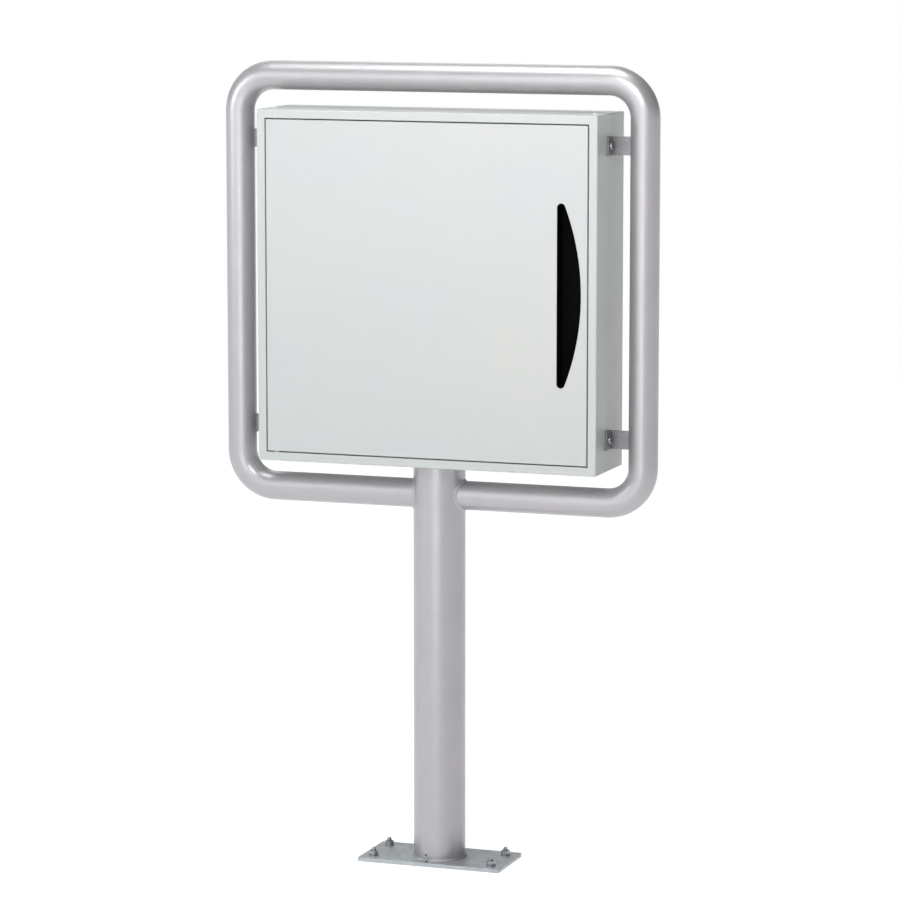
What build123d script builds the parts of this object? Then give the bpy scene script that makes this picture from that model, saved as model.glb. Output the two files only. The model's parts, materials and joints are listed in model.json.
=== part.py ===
from build123d import *
import os
from math import cos, hypot, pi, radians, sin

# Street fire alarm station: a sheet steel cabinet with an inset door, held by four brackets
# in a bent tube frame that is welded to a round post on an anchored base plate.
# Millimetres. X to the right, Y to the back, Z up. The origin is the centre of the base
# plate's underside. The frame tube's centre-line and the cabinet's mid-depth lie on Y = 0.

# ---------------------------------------------------------------- stand
plate_w, plate_d, plate_t = 312.0, 154.0, 8.0
plate_corner_r, plate_edge_chamfer = 4.0, 0.8
cable_hole_r = 30.0
anchor_r = 5.0
anchor_span_x, anchor_span_y = 260.0, 94.0
anchor_washer_r, anchor_washer_t = 10.0, 2.0
anchor_nut_af, anchor_nut_h = 17.0, 8.0
anchor_free_end, anchor_chamfer = 3.0, 0.6
anchor_tip_r, anchor_tip_h = 4.0, 4.0
post_d, post_wall = 108.0, 3.6
post_head_t = 8.0
drain_hole_r, drain_height, drain_turn = 3.0, 11.0, -12.0
earth_screw_r, earth_head_r, earth_head_h = 3.0, 5.5, 4.0
earth_screw_x, earth_from_weld = -9.0, 2.5
tube_d, tube_wall = 60.3, 2.9
frame_gap_x, frame_gap_z = 42.35, 35.85
frame_mid_z = 1205.0
bend_r = 75.0
weld_leg = 4.0
nut_turned_share, nut_chamfer = 0.585, 1.2

# ---------------------------------------------------------------- cabinet
cab_w, cab_h, cab_d = 735.0, 728.0, 180.0
sheet = 2.0
cab_edge_r, lip_r = 3.0, 1.2
border = 18.0
floor_gasket_t = 3.0
floor_hole_r = 25.0
grommet_wall, grommet_lip = 4.0, 3.0
floor_screw_r, floor_screw_circle = 4.0, 38.0
floor_screw_head_r, floor_screw_head_h = 6.5, 5.0
floor_screw_count = 4
floor_socket_af, floor_socket_depth = 6.0, 2.5
roof_plug_r, roof_plug_head_r, roof_plug_head_h = 3.0, 5.0, 1.6
roof_plug_inset_x, roof_plug_inset_y, roof_plug_end = 20.0, 50.0, 1.0

# ---------------------------------------------------------------- brackets
bracket_t, bracket_h, bracket_bend_r = 5.0, 38.0, 4.5
bracket_reach, bracket_hole_from_tip = 32.0, 16.5
bracket_from_end = 65.0
bracket_screw_r, bracket_head_r, bracket_head_h = 4.0, 7.5, 4.4
bracket_nut_af, bracket_nut_h = 13.0, 6.5
bracket_washer_r, bracket_washer_t = 8.5, 1.6
bracket_socket_af, bracket_socket_depth = 5.0, 2.6
screw_slack, screw_end = 0.4, 2.0
dome_share = 0.7

# ---------------------------------------------------------------- door and its hinge
door_t = 18.0
door_gap = 2.5
door_corner_r = 1.5
inner_skin = 1.5
heel_gap = 0.38
pivot_pin_r, pivot_pin_chamfer = 4.0, 0.8
pivot_running_gap = 0.05
pivot_pin_depth = 16.0
pivot_block_w, pivot_block_d, pivot_block_h, pivot_block_back = 30.0, 14.0, 12.0, 1.0
bush_edge_gap, bush_block_d, bush_block_h = 2.0, 12.0, 20.0
thrust_washer_r = 9.0
rest_gap = 0.3
heel_clearance = 2.5
seal_t, seal_w, seal_inset = 5.7, 8.0, 1.0
ledge_w, latch_ledge_w = 12.0, 10.0
stiffener_w, stiffener_flange, stiffener_sheet = 30.0, 12.0, 1.5
stiffener_end_gap = 30.0
stiffener_x = (-170.0, 0.0, 170.0)
grip_h, grip_from_edge, grip_bulge_from_edge = 374.0, 64.0, 13.0
grip_tip_r = 8.7
grip_wall, grip_depth, grip_fit = 2.0, 30.0, 0.2
grip_flange, grip_flange_t = 5.0, 2.0
magnet_w, magnet_h, magnet_d, magnet_foot_t = 16.0, 46.0, 24.0, 4.0
magnet_from_end, magnet_inset = 75.0, 2.0
strike_t, strike_shorter = 2.0, 6.0
contact_w, contact_h, contact_x = 50.0, 12.0, 230.0
contact_magnet_t, contact_magnet_share, contact_clear = 8.0, 0.8, 1.3
pocket_w, pocket_h, pocket_d, pocket_sheet = 320.0, 225.0, 20.0, 1.2
pocket_from_bottom, pocket_window_w, pocket_window_h = 50.0, 106.0, 60.0
card_w, card_h, card_t, card_pitch, card_clear, card_count = 300.0, 212.0, 1.0, 2.2, 1.0, 5

# ---------------------------------------------------------------- mounting plate and its gear
mount_plate_t, mount_plate_inset = 2.0, 25.0
standoff_r, standoff_len, standoff_inset = 6.0, 12.0, 20.0
standoff_stud_r, standoff_nut_af, standoff_nut_h = 3.0, 10.0, 5.0
panel_wall = 3.0
panel_edge_r = 3.0
display_w, display_h, display_d = 270.0, 190.0, 70.0
display_x, display_z = -160.0, 220.0
window_w, window_h, window_t, window_up = 190.0, 66.0, 2.0, 35.0
screen_t = 6.0
window_lip = 6.0
lens_r, lens_pitch, lens_count, lens_len, lens_proud = 3.0, 22.0, 8, 8.0, 1.0
lens_down = 20.0
control_x = 160.0
key_w, key_h, key_len, key_edge_r = 26.0, 16.0, 14.0, 1.5
key_travel, key_left_proud = 2.5, 2.5
key_clear, key_flange, key_flange_t = 0.5, 2.0, 1.5
key_pitch_x, key_pitch_z = 56.0, 46.0
key_columns, key_rows = 2, 2
lock_r, lock_flange_r, lock_flange_t, lock_len = 9.0, 13.0, 2.0, 30.0
lock_plug_r, lock_plug_len = 6.0, 26.0
lock_slot_w, lock_slot_h, lock_slot_depth = 2.4, 8.0, 10.0
lock_drop_x, lock_drop_z = 95.0, 0.0
call_w, call_d, call_edge_r = 120.0, 60.0, 6.0
call_x, call_z = 0.0, 30.0
call_collar_r, call_collar_wall, call_collar_h = 27.0, 3.0, 7.0
button_r, button_len, button_edge_r = 22.0, 22.0, 2.0
button_travel, button_left_proud = 4.0, 1.0
button_flange, button_flange_t = 3.0, 2.0
transmitter_w, transmitter_h, transmitter_d = 190.0, 140.0, 50.0
transmitter_x, transmitter_z = -205.0, 20.0
lid_t, lid_screw_r, lid_screw_inset, lid_screw_bite = 6.0, 3.0, 9.0, 6.0
lid_boss_wall, lid_slot_w, lid_slot_depth, lid_screw_sunk = 2.0, 0.8, 1.0, 0.5
gland_r, gland_len, gland_hex_af, gland_hex_h = 8.0, 20.0, 22.0, 7.0
gland_count, gland_pitch, gland_edge_r = 3, 45.0, 3.0
rail_w, rail_h, rail_d, rail_sheet = 270.0, 35.0, 7.5, 1.0
rail_x, rail_z = 200.0, 20.0
rail_web_h = 25.0
terminal_w, terminal_h, terminal_d, terminal_count = 6.2, 60.0, 42.0, 16
terminal_gap, terminal_start = 0.2, 12.0
screw_well_r, screw_well_depth, screw_well_share = 2.0, 8.0, 0.2
funnel_r, funnel_depth, funnel_share = 1.4, 12.0, 0.36
breaker_w, breaker_h, breaker_d, breaker_nose, breaker_nose_d = 18.0, 84.0, 44.0, 45.0, 16.0
breaker_from_end = 60.0
lever_w, lever_r, lever_len, lever_t, lever_gap = 8.0, 6.0, 14.0, 4.0, 0.6
lever_throw, lever_edge_r = 60.0, 1.5
supply_w, supply_h, supply_d, supply_sheet = 220.0, 115.0, 52.0, 1.2
supply_x, supply_z = 190.0, -215.0
vent_w, vent_h, vent_pitch, vent_count = 3.0, 60.0, 9.0, 14
battery_w, battery_h, battery_d = 182.0, 168.0, 77.0
battery_x = -150.0
battery_lug_w, battery_lug_t, battery_lug_h = 12.0, 3.0, 10.0
battery_cover_h = 14.0
battery_edge_r, battery_lid_step, battery_lug_in, battery_lug_share = 2.0, 1.0, 18.0, 0.38
tray_sheet, tray_lip, tray_up, tray_from_plate = 2.0, 22.0, 14.0, 0.5
strap_w, strap_t, strap_tab = 25.0, 1.5, 25.0
floor_earth_r, floor_earth_len, floor_earth_x, floor_nut_up = 4.0, 20.0, 120.0, 3.0
heater_w, heater_h, heater_d, heater_core_d = 60.0, 110.0, 46.0, 12.0
heater_fin_t, heater_fins = 2.5, 7
heater_x, heater_z = 20.0, -215.0

# ---------------------------------------------------------------- places worked out from the sizes
post_r, tube_r = post_d / 2, tube_d / 2
earth_pos = (earth_screw_x, -(post_r + weld_leg + earth_from_weld + earth_head_r))
frame_w, frame_h = cab_w + 2 * frame_gap_x + tube_d, cab_h + 2 * frame_gap_z + tube_d
front, back = -cab_d / 2, cab_d / 2
cab_z0, cab_z1 = frame_mid_z - cab_h / 2, frame_mid_z + cab_h / 2
side_x = cab_w / 2
frame_z0, frame_z1 = frame_mid_z - frame_h / 2, frame_mid_z + frame_h / 2
post_head_z = cab_z0 - floor_gasket_t - post_head_t
open_x0, open_x1 = -side_x + border, side_x - border
open_z0, open_z1 = cab_z0 + border, cab_z1 - border
door_x0, door_x1 = open_x0 + door_gap, open_x1 - door_gap
door_z0, door_z1 = open_z0 + door_gap, open_z1 - door_gap
door_back = front + door_t
heel_room = door_gap - heel_gap
pivot_from_edge = ((door_t / 2) ** 2 - heel_room**2) / (2 * heel_room)
bush_block_w = 2 * (pivot_from_edge - sheet - bush_edge_gap)
pivot_x, pivot_y = door_x0 + pivot_from_edge, front + door_t / 2
heel_r = hypot(pivot_from_edge, door_t / 2)
ledge_y = door_back + rest_gap + seal_t
hinge_well_y = pivot_y + heel_r + heel_clearance
hinge_well_x = pivot_x + heel_r + heel_clearance
grip_x0, grip_x1 = door_x1 - grip_from_edge, door_x1 - grip_bulge_from_edge
mount_front = back - sheet - standoff_len - mount_plate_t
gear_z = frame_mid_z
bracket_hole_y = bracket_hole_from_tip - bracket_reach
button_hole_r = button_r + key_clear
key_proud, button_proud = key_travel + key_left_proud, button_travel + button_left_proud
lever_tilt = lever_throw / 2


# ---------------------------------------------------------------- helpers
def block(x, y, z):
    """Box between the two values given for each axis."""
    centre = [(side[0] + side[1]) / 2 for side in (x, y, z)]
    return Pos(*centre) * Box(x[1] - x[0], y[1] - y[0], z[1] - z[0])


def around(x, width):
    """The two ends of a width centred on x."""
    return (x - width / 2, x + width / 2)


def rod_x(y, z, x0, x1, radius):
    return Pos((x0 + x1) / 2, y, z) * Rot(0, 90, 0) * Cylinder(radius, abs(x1 - x0))


def rod_y(x, z, y0, y1, radius):
    return Pos(x, (y0 + y1) / 2, z) * Rot(90, 0, 0) * Cylinder(radius, abs(y1 - y0))


def rod_z(x, y, z0, z1, radius):
    return Pos(x, y, (z0 + z1) / 2) * Cylinder(radius, abs(z1 - z0))


def hexagon(across_flats, height):
    """Hexagon prism standing on the XY plane."""
    return extrude(RegularPolygon(across_flats / 2, 6, major_radius=False), height)


def prism_y(sketch, y0, y1):
    """A sketch drawn as (x, z), carried from y0 to y1."""
    return Rot(90, 0, 0) * (Pos(0, 0, -y1) * extrude(sketch, y1 - y0))


def corners(span_x, span_y):
    return [(i * span_x / 2, j * span_y / 2) for i in (-1, 1) for j in (-1, 1)]


def rounded(solid, axis, radius):
    """Rounds the edges that run along the axis."""
    return fillet(solid.edges().filter_by(axis), radius)


def save(name, *shapes):
    solids = [solid for shape in shapes for solid in shape.solids()]
    export_step(solids[0] if len(solids) == 1 else Compound(solids), f"parts/{name}.step")


# ---------------------------------------------------------------- stand
def base_plate():
    plate = block(around(0, plate_w), around(0, plate_d), (0, plate_t))
    plate = rounded(plate, Axis.Z, plate_corner_r)
    plate = chamfer(plate.faces().sort_by(Axis.Z)[-1].edges(), plate_edge_chamfer)
    plate -= rod_z(0, 0, -1, plate_t + 1, cable_hole_r)
    for x, y in corners(anchor_span_x, anchor_span_y):
        plate -= rod_z(x, y, -1, plate_t + 1, anchor_r + screw_slack)
    plate -= rod_z(*earth_pos, -1, plate_t + 1, earth_screw_r)
    return plate


def anchor_studs():
    """Anchor ends, cut off level with the plate's underside; each has a turned-down tip."""
    nut_top = plate_t + anchor_washer_t + anchor_nut_h
    shank_top = nut_top + anchor_free_end
    shank = rod_z(0, 0, 0, shank_top, anchor_r)
    shank = chamfer(shank.faces().sort_by(Axis.Z)[-1].edges(), anchor_chamfer)
    stud = shank + rod_z(0, 0, shank_top, shank_top + anchor_tip_h, anchor_tip_r)
    return [Pos(x, y, 0) * stud for x, y in corners(anchor_span_x, anchor_span_y)]


def anchor_washers():
    ring = rod_z(0, 0, plate_t, plate_t + anchor_washer_t, anchor_washer_r)
    ring -= rod_z(0, 0, 0, 2 * plate_t, anchor_r + screw_slack)
    return [Pos(x, y, 0) * ring for x, y in corners(anchor_span_x, anchor_span_y)]


def chamfered_nut(across_flats, height, bore_r):
    """Hexagon nut on the XY plane with its corners turned off top and bottom."""
    nut = hexagon(across_flats, height)
    turned = chamfer(rod_z(0, 0, 0, height, across_flats * nut_turned_share).edges(), nut_chamfer)
    return (nut & turned) - rod_z(0, 0, -1, height + 1, bore_r)


def anchor_nuts():
    nut = chamfered_nut(anchor_nut_af, anchor_nut_h, anchor_r)
    seat = plate_t + anchor_washer_t
    return [Pos(x, y, seat) * nut for x, y in corners(anchor_span_x, anchor_span_y)]


def earth_screw():
    """Earthing screw in the plate, in front of the post."""
    head = rod_z(0, 0, plate_t, plate_t + earth_head_h, earth_head_r)
    head = fillet(head.faces().sort_by(Axis.Z)[-1].edges(), earth_head_h * dome_share)
    return Pos(*earth_pos, 0) * (head + rod_z(0, 0, 0, plate_t, earth_screw_r))


def post_tube():
    tube = rod_z(0, 0, plate_t, post_head_z, post_r)
    tube -= rod_z(0, 0, 0, post_head_z + 1, post_r - post_wall)
    drain = Rot(0, 0, drain_turn) * rod_y(0, plate_t + drain_height, -post_d, 0, drain_hole_r)
    return tube - drain


def post_head():
    """Disc welded into the top of the post; the cabinet's floor is screwed to it."""
    head = rod_z(0, 0, post_head_z, post_head_z + post_head_t, post_r)
    head -= rod_z(0, 0, post_head_z - 1, cab_z0, floor_hole_r)
    for x, y in floor_screw_places():
        head -= rod_z(x, y, post_head_z - 1, cab_z0, floor_screw_r)
    return head


def frame_tube():
    """One tube with four bends. Both its ends are coped to the post."""
    inside_post = post_r / 2
    points = [
        (-inside_post, 0, frame_z0),
        (-frame_w / 2, 0, frame_z0),
        (-frame_w / 2, 0, frame_z1),
        (frame_w / 2, 0, frame_z1),
        (frame_w / 2, 0, frame_z0),
        (inside_post, 0, frame_z0),
    ]
    path = FilletPolyline(*points, radius=bend_r)
    start = Plane(origin=path @ 0, z_dir=path % 0)
    tube = sweep(start * Circle(tube_r), path=path)
    tube -= sweep(start * Circle(tube_r - tube_wall), path=path)
    return tube - rod_z(0, 0, frame_z0 - post_d, frame_z0 + post_d, post_r)


def foot_weld():
    """Fillet weld round the foot of the post."""
    leg = weld_leg
    points = [(post_r, plate_t), (post_r + leg, plate_t), (post_r, plate_t + leg)]
    corner = Polyline(*points, close=True)
    return revolve(Plane.XZ * make_face(corner), Axis.Z)


def frame_welds():
    """A bead where each end of the frame tube meets the post."""
    both = rod_z(0, 0, frame_z0 - post_d, frame_z0 + post_d, post_r + weld_leg)
    both &= rod_x(0, frame_z0, -post_d, post_d, tube_r + weld_leg)
    both -= rod_z(0, 0, frame_z0 - post_d, frame_z0 + post_d, post_r)
    return both - rod_x(0, frame_z0, -post_d, post_d, tube_r)


# ---------------------------------------------------------------- brackets
def bracket_heights():
    return (cab_z0 + bracket_from_end, cab_z1 - bracket_from_end)


def bracket(side, z):
    """Angle: a web from the tube to the cabinet, and a flange lying forward on the cabinet's side."""
    inner, outer = side_x, frame_w / 2 - tube_r / 2
    height = around(z, bracket_h)
    web = block((inner, outer), (0, bracket_t), height)
    flange = block((inner, inner + bracket_t), (-bracket_reach, bracket_t), height)
    angle = web + flange
    bend = angle.edges().filter_by(Axis.Z).sort_by_distance((inner, bracket_t, z))[0]
    angle = fillet(bend, bracket_bend_r)
    angle -= rod_z(frame_w / 2, 0, z - bracket_h, z + bracket_h, tube_r)
    angle -= rod_x(bracket_hole_y, z, inner - 1, outer, bracket_screw_r + screw_slack)
    return angle if side > 0 else mirror(angle, about=Plane.YZ)


def bracket_screw_places():
    return [(side, bracket_hole_y, z) for side in (-1, 1) for z in bracket_heights()]


def bracket_screws():
    """Dome-head screws through the bracket flanges into the cabinet's sides."""
    seat = side_x + bracket_t
    head = rod_x(0, 0, seat, seat + bracket_head_h, bracket_head_r)
    head = fillet(head.faces().sort_by(Axis.X)[-1].edges(), bracket_head_h * dome_share)
    inner_end = side_x - sheet - bracket_washer_t - bracket_nut_h - screw_end
    screw = head + rod_x(0, 0, inner_end, seat, bracket_screw_r)
    socket = Rot(0, -90, 0) * hexagon(bracket_socket_af, bracket_socket_depth)
    screw -= Pos(seat + bracket_head_h, 0, 0) * socket
    return [
        Pos(0, y, z) * (screw if side > 0 else mirror(screw, about=Plane.YZ))
        for side, y, z in bracket_screw_places()
    ]


def bracket_washers():
    inner = side_x - sheet
    ring = rod_x(0, 0, inner - bracket_washer_t, inner, bracket_washer_r)
    ring -= rod_x(0, 0, inner - 10, inner + 1, bracket_screw_r + screw_slack)
    return [
        Pos(0, y, z) * (ring if side > 0 else mirror(ring, about=Plane.YZ))
        for side, y, z in bracket_screw_places()
    ]


def bracket_nuts():
    seat = side_x - sheet - bracket_washer_t
    nut = chamfered_nut(bracket_nut_af, bracket_nut_h, bracket_screw_r)
    nut = Pos(seat, 0, 0) * Rot(0, -90, 0) * nut
    return [
        Pos(0, y, z) * (nut if side > 0 else mirror(nut, about=Plane.YZ))
        for side, y, z in bracket_screw_places()
    ]


# ---------------------------------------------------------------- cabinet
def floor_screw_places():
    turn = 2 * pi / floor_screw_count
    angles = [turn * (i + 0.5) for i in range(floor_screw_count)]
    return [(floor_screw_circle * cos(a), floor_screw_circle * sin(a)) for a in angles]


def roof_plug_places():
    x = side_x - roof_plug_inset_x
    return [(-x, front + roof_plug_inset_y), (x, front + roof_plug_inset_y)]


def cabinet_body():
    """Folded sheet box whose front turns in as a border round the door opening."""
    outer = block((-side_x, side_x), (front, back), (cab_z0, cab_z1))
    outer = fillet(outer.edges(), cab_edge_r)
    inner_x = (sheet - side_x, side_x - sheet)
    inner = block(inner_x, (front + sheet, back - sheet), (cab_z0 + sheet, cab_z1 - sheet))
    body = outer - fillet(inner.edges(), cab_edge_r - sheet)
    body -= block((open_x0, open_x1), (front - 1, front + sheet + 1), (open_z0, open_z1))
    body = fillet(body.faces().sort_by(Axis.Y)[0].inner_wires()[0].edges(), lip_r)
    for x, y in roof_plug_places():
        body -= rod_z(x, y, cab_z1 - sheet - 1, cab_z1 + 1, roof_plug_r)
    for side, y, z in bracket_screw_places():
        near, far = side * (side_x - sheet - 1), side * (side_x + 1)
        body -= rod_x(y, z, near, far, bracket_screw_r + screw_slack)
    body -= rod_z(0, 0, cab_z0 - 1, cab_z0 + sheet + 1, floor_hole_r)
    for x, y in floor_screw_places():
        body -= rod_z(x, y, cab_z0 - 1, cab_z0 + sheet + 1, floor_screw_r + screw_slack)
    return body


def jamb_frame():
    """Door jamb: walls behind the border, a sealing ledge, and a deeper well on the hinge side."""
    y0, y1, well_y1 = front + sheet, ledge_y + sheet, hinge_well_y + sheet
    top, bottom = (open_z1, open_z1 + sheet), (open_z0 - sheet, open_z0)
    full_z = (bottom[0], top[1])
    walls = [
        block((open_x1, open_x1 + sheet), (y0, y1), full_z),
        block((open_x0 - sheet, open_x0), (y0, well_y1), full_z),
        block((open_x0, hinge_well_x), (hinge_well_y, well_y1), full_z),
        block((hinge_well_x, hinge_well_x + sheet), (ledge_y, well_y1), full_z),
        block((open_x1 - latch_ledge_w, open_x1), (ledge_y, y1), full_z),
        block((hinge_well_x, hinge_well_x + ledge_w), (ledge_y, y1), full_z),
    ]
    for z, ledge_z in ((top, (open_z1 - ledge_w, open_z1)), (bottom, (open_z0, open_z0 + ledge_w))):
        walls.append(block((open_x0, hinge_well_x), (y0, well_y1), z))
        walls.append(block((hinge_well_x, open_x1), (y0, y1), z))
        walls.append(block((hinge_well_x, open_x1), (ledge_y, y1), ledge_z))
    frame = walls[0].fuse(*walls[1:]).clean()
    return frame - rod_z(pivot_x, pivot_y, cab_z0, cab_z1, pivot_pin_r)


def door_seal():
    """Rubber seal lying on the ledge, just clear of the shut door."""
    x = (hinge_well_x + seal_inset, open_x1 - seal_inset)
    z = (open_z0 + seal_inset, open_z1 - seal_inset)
    y = (ledge_y - seal_t, ledge_y)
    hollow_x = (x[0] + seal_w, x[1] - seal_w)
    hollow_z = (z[0] + seal_w, z[1] - seal_w)
    return block(x, y, z) - block(hollow_x, (y[0] - 1, y[1] + 1), hollow_z)


def roof_plugs():
    head = rod_z(0, 0, cab_z1, cab_z1 + roof_plug_head_h, roof_plug_head_r)
    head = fillet(head.faces().sort_by(Axis.Z)[-1].edges(), roof_plug_head_h * dome_share)
    plug = head + rod_z(0, 0, cab_z1 - sheet - roof_plug_end, cab_z1, roof_plug_r)
    return [Pos(x, y, 0) * plug for x, y in roof_plug_places()]


def floor_gasket():
    ring = rod_z(0, 0, cab_z0 - floor_gasket_t, cab_z0, post_r)
    ring -= rod_z(0, 0, cab_z0 - 10, cab_z0 + 1, floor_hole_r)
    for x, y in floor_screw_places():
        ring -= rod_z(x, y, cab_z0 - 10, cab_z0 + 1, floor_screw_r + screw_slack)
    return ring


def cable_grommet():
    """Rubber sleeve lining the cable hole from the post head into the cabinet."""
    bottom, floor_top = post_head_z, cab_z0 + sheet
    sleeve = rod_z(0, 0, bottom, floor_top, floor_hole_r)
    sleeve += rod_z(0, 0, floor_top, floor_top + grommet_lip, floor_hole_r + grommet_lip)
    sleeve = fillet(sleeve.faces().sort_by(Axis.Z)[-1].edges(), grommet_lip / 2)
    return sleeve - rod_z(0, 0, bottom - 1, floor_top + 10, floor_hole_r - grommet_wall)


def floor_screws():
    seat = cab_z0 + sheet
    head = rod_z(0, 0, seat, seat + floor_screw_head_h, floor_screw_head_r)
    socket_z = seat + floor_screw_head_h - floor_socket_depth
    head -= Pos(0, 0, socket_z) * hexagon(floor_socket_af, 2 * floor_socket_depth)
    screw = head + rod_z(0, 0, post_head_z, seat, floor_screw_r)
    return [Pos(x, y, 0) * screw for x, y in floor_screw_places()]


def pivot_block(upper):
    """Steel block behind the jamb that holds a pivot pin."""
    inner = open_z1 + sheet if upper else open_z0 - sheet
    z = (inner, inner + pivot_block_h) if upper else (inner - pivot_block_h, inner)
    solid = block(
        around(pivot_x, pivot_block_w), around(pivot_y + pivot_block_back, pivot_block_d), z
    )
    return solid - rod_z(pivot_x, pivot_y, cab_z0, cab_z1, pivot_pin_r)


def pivot_pin(upper):
    outward = open_z1 + sheet + pivot_block_h if upper else open_z0 - sheet - pivot_block_h
    inward = door_z1 - pivot_pin_depth if upper else door_z0 + pivot_pin_depth
    pin = rod_z(pivot_x, pivot_y, outward, inward, pivot_pin_r)
    tip = pin.faces().sort_by(Axis.Z)[0 if upper else -1]
    return chamfer(tip.edges(), pivot_pin_chamfer)


def thrust_washer():
    """Washer that carries the door on the lower pin."""
    ring = rod_z(pivot_x, pivot_y, open_z0, door_z0 - rest_gap, thrust_washer_r)
    return ring - rod_z(pivot_x, pivot_y, open_z0 - 1, door_z0 + 1, pivot_pin_r)


# ---------------------------------------------------------------- door
def grip_outline(grow):
    """Segment of a circle with rounded tips: a straight left side and a right side that bulges."""
    tip_r = grip_tip_r + grow
    tip_x = grip_x0 - grow + tip_r
    bulge_x = grip_x1 + grow - tip_r
    reach = grip_h / 2 + grow - tip_r
    circle_x = (bulge_x**2 - tip_x**2 - reach**2) / (2 * (bulge_x - tip_x))
    circle_r = grip_x1 + grow - circle_x
    right_half = Pos(grip_x0 - grow + circle_r, frame_mid_z) * Rectangle(2 * circle_r, 2 * circle_r)
    segment = (Pos(circle_x, frame_mid_z) * Circle(circle_r)) & right_half
    return fillet(segment.vertices(), tip_r)


def inside_door(y0, y1):
    """Block that fills the door between its folded edges."""
    return block((door_x0 + sheet, door_x1 - sheet), (y0, y1), (door_z0 + sheet, door_z1 - sheet))


def door_panel():
    """Outer skin of the door with its edges folded back."""
    panel = block((door_x0, door_x1), (front, door_back), (door_z0, door_z1))
    panel = rounded(panel, Axis.Y, door_corner_r)
    panel = fillet(panel.faces().sort_by(Axis.Y)[0].edges(), lip_r)
    panel -= inside_door(front + sheet, door_back + 1)
    panel -= prism_y(grip_outline(grip_fit), front - 1, front + sheet + 1)
    return panel - rod_z(pivot_x, pivot_y, cab_z0, cab_z1, pivot_pin_r + screw_slack)


def door_inner_panel():
    panel = inside_door(door_back - inner_skin, door_back)
    return panel - prism_y(grip_outline(grip_fit), front, door_back + 1)


def door_stiffeners():
    """Hat sections that hold the two skins apart."""
    y0, y1 = front + sheet, door_back - inner_skin
    z = (door_z0 + stiffener_end_gap, door_z1 - stiffener_end_gap)
    crown, wall = stiffener_w / 2, stiffener_sheet
    hats = []
    for x in stiffener_x:
        hat = block((x - crown, x + crown), (y0, y1), z)
        hat -= block((x - crown + wall, x + crown - wall), (y0 + wall, y1 + 1), z)
        hat += block((x - crown - stiffener_flange, x - crown), (y1 - wall, y1), z)
        hat += block((x + crown, x + crown + stiffener_flange), (y1 - wall, y1), z)
        hats.append(hat)
    return hats


def grip_cup():
    """Moulded finger recess set flush in the door, with a flange behind the outer skin."""
    cup = prism_y(grip_outline(0), front, front + grip_depth)
    cup += prism_y(grip_outline(grip_flange), front + sheet, front + sheet + grip_flange_t)
    return cup - prism_y(grip_outline(-grip_wall), front - 1, front + grip_depth - grip_wall)


def bush_block(upper):
    """Bored block in the corner of the door that turns on a pivot pin."""
    edge = door_z1 - sheet if upper else door_z0 + sheet
    z = (edge - bush_block_h, edge) if upper else (edge, edge + bush_block_h)
    solid = block(around(pivot_x, bush_block_w), around(pivot_y, bush_block_d), z)
    return solid - rod_z(pivot_x, pivot_y, cab_z0, cab_z1, pivot_pin_r + pivot_running_gap)


def latch_heights():
    return (door_z0 + magnet_from_end, door_z1 - magnet_from_end)


def magnet_places():
    x1 = open_x1 - latch_ledge_w - magnet_inset
    return [((x1 - magnet_w, x1), z) for z in latch_heights()]


def magnet_catches():
    """Magnets on feet that are fixed behind the ledge."""
    catches = []
    y_face = door_back + strike_t + rest_gap
    foot_y = (ledge_y + sheet, ledge_y + sheet + magnet_foot_t)
    for x, z in magnet_places():
        height = around(z, magnet_h)
        body = block(x, (y_face, y_face + magnet_d), height)
        catches.append(body + block((x[0], open_x1), foot_y, height))
    return catches


def strike_plates():
    y = (door_back, door_back + strike_t)
    return [block(x, y, around(z, magnet_h - strike_shorter)) for x, z in magnet_places()]


def door_contact():
    """Reed contact that tells the station its door is open."""
    z1 = open_z1 - ledge_w - magnet_inset
    y0 = door_back + contact_magnet_t + contact_clear
    body = block(around(contact_x, contact_w), (y0, y0 + contact_h), (z1 - contact_h, z1))
    foot_y = (ledge_y + sheet, y0 + contact_h)
    return body + block(around(contact_x, contact_w), foot_y, (z1, open_z1))


def contact_magnet():
    z1 = open_z1 - ledge_w - magnet_inset
    y = (door_back, door_back + contact_magnet_t)
    return block(around(contact_x, contact_w * contact_magnet_share), y, (z1 - contact_h, z1))


def pocket_z():
    z0 = door_z0 + pocket_from_bottom
    return (z0, z0 + pocket_h)


def card_pocket():
    """Tray for the route cards, open at the top, on the back of the door."""
    wall, z = pocket_sheet, pocket_z()
    y = (door_back, door_back + pocket_d)
    tray = block(around(0, pocket_w), y, z)
    tray -= block(around(0, pocket_w - 2 * wall), (y[0] + wall, y[1] - wall), (z[0] + wall, z[1] + 1))
    window_z = (z[1] - pocket_window_h, z[1] + 1)
    return tray - block(around(0, pocket_window_w), (y[1] - pocket_d / 2, y[1] + 1), window_z)


def route_cards():
    z0 = pocket_z()[0] + pocket_sheet
    first = door_back + pocket_sheet + card_clear
    card = block(around(0, card_w), (first, first + card_t), (z0, z0 + card_h))
    return [Pos(0, i * card_pitch, 0) * card for i in range(card_count)]


# ---------------------------------------------------------------- mounting plate and its gear
def standoff_places():
    x = side_x - mount_plate_inset - standoff_inset
    z = cab_h / 2 - mount_plate_inset - standoff_inset
    return [(i, gear_z + j) for i, j in corners(2 * x, 2 * z)]


def mounting_plate():
    x = (-side_x + mount_plate_inset, side_x - mount_plate_inset)
    z = (cab_z0 + mount_plate_inset, cab_z1 - mount_plate_inset)
    plate = block(x, (mount_front, mount_front + mount_plate_t), z)
    for px, pz in standoff_places():
        plate -= rod_y(px, pz, mount_front - 1, mount_front + 5, standoff_stud_r + screw_slack)
    return plate


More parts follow.
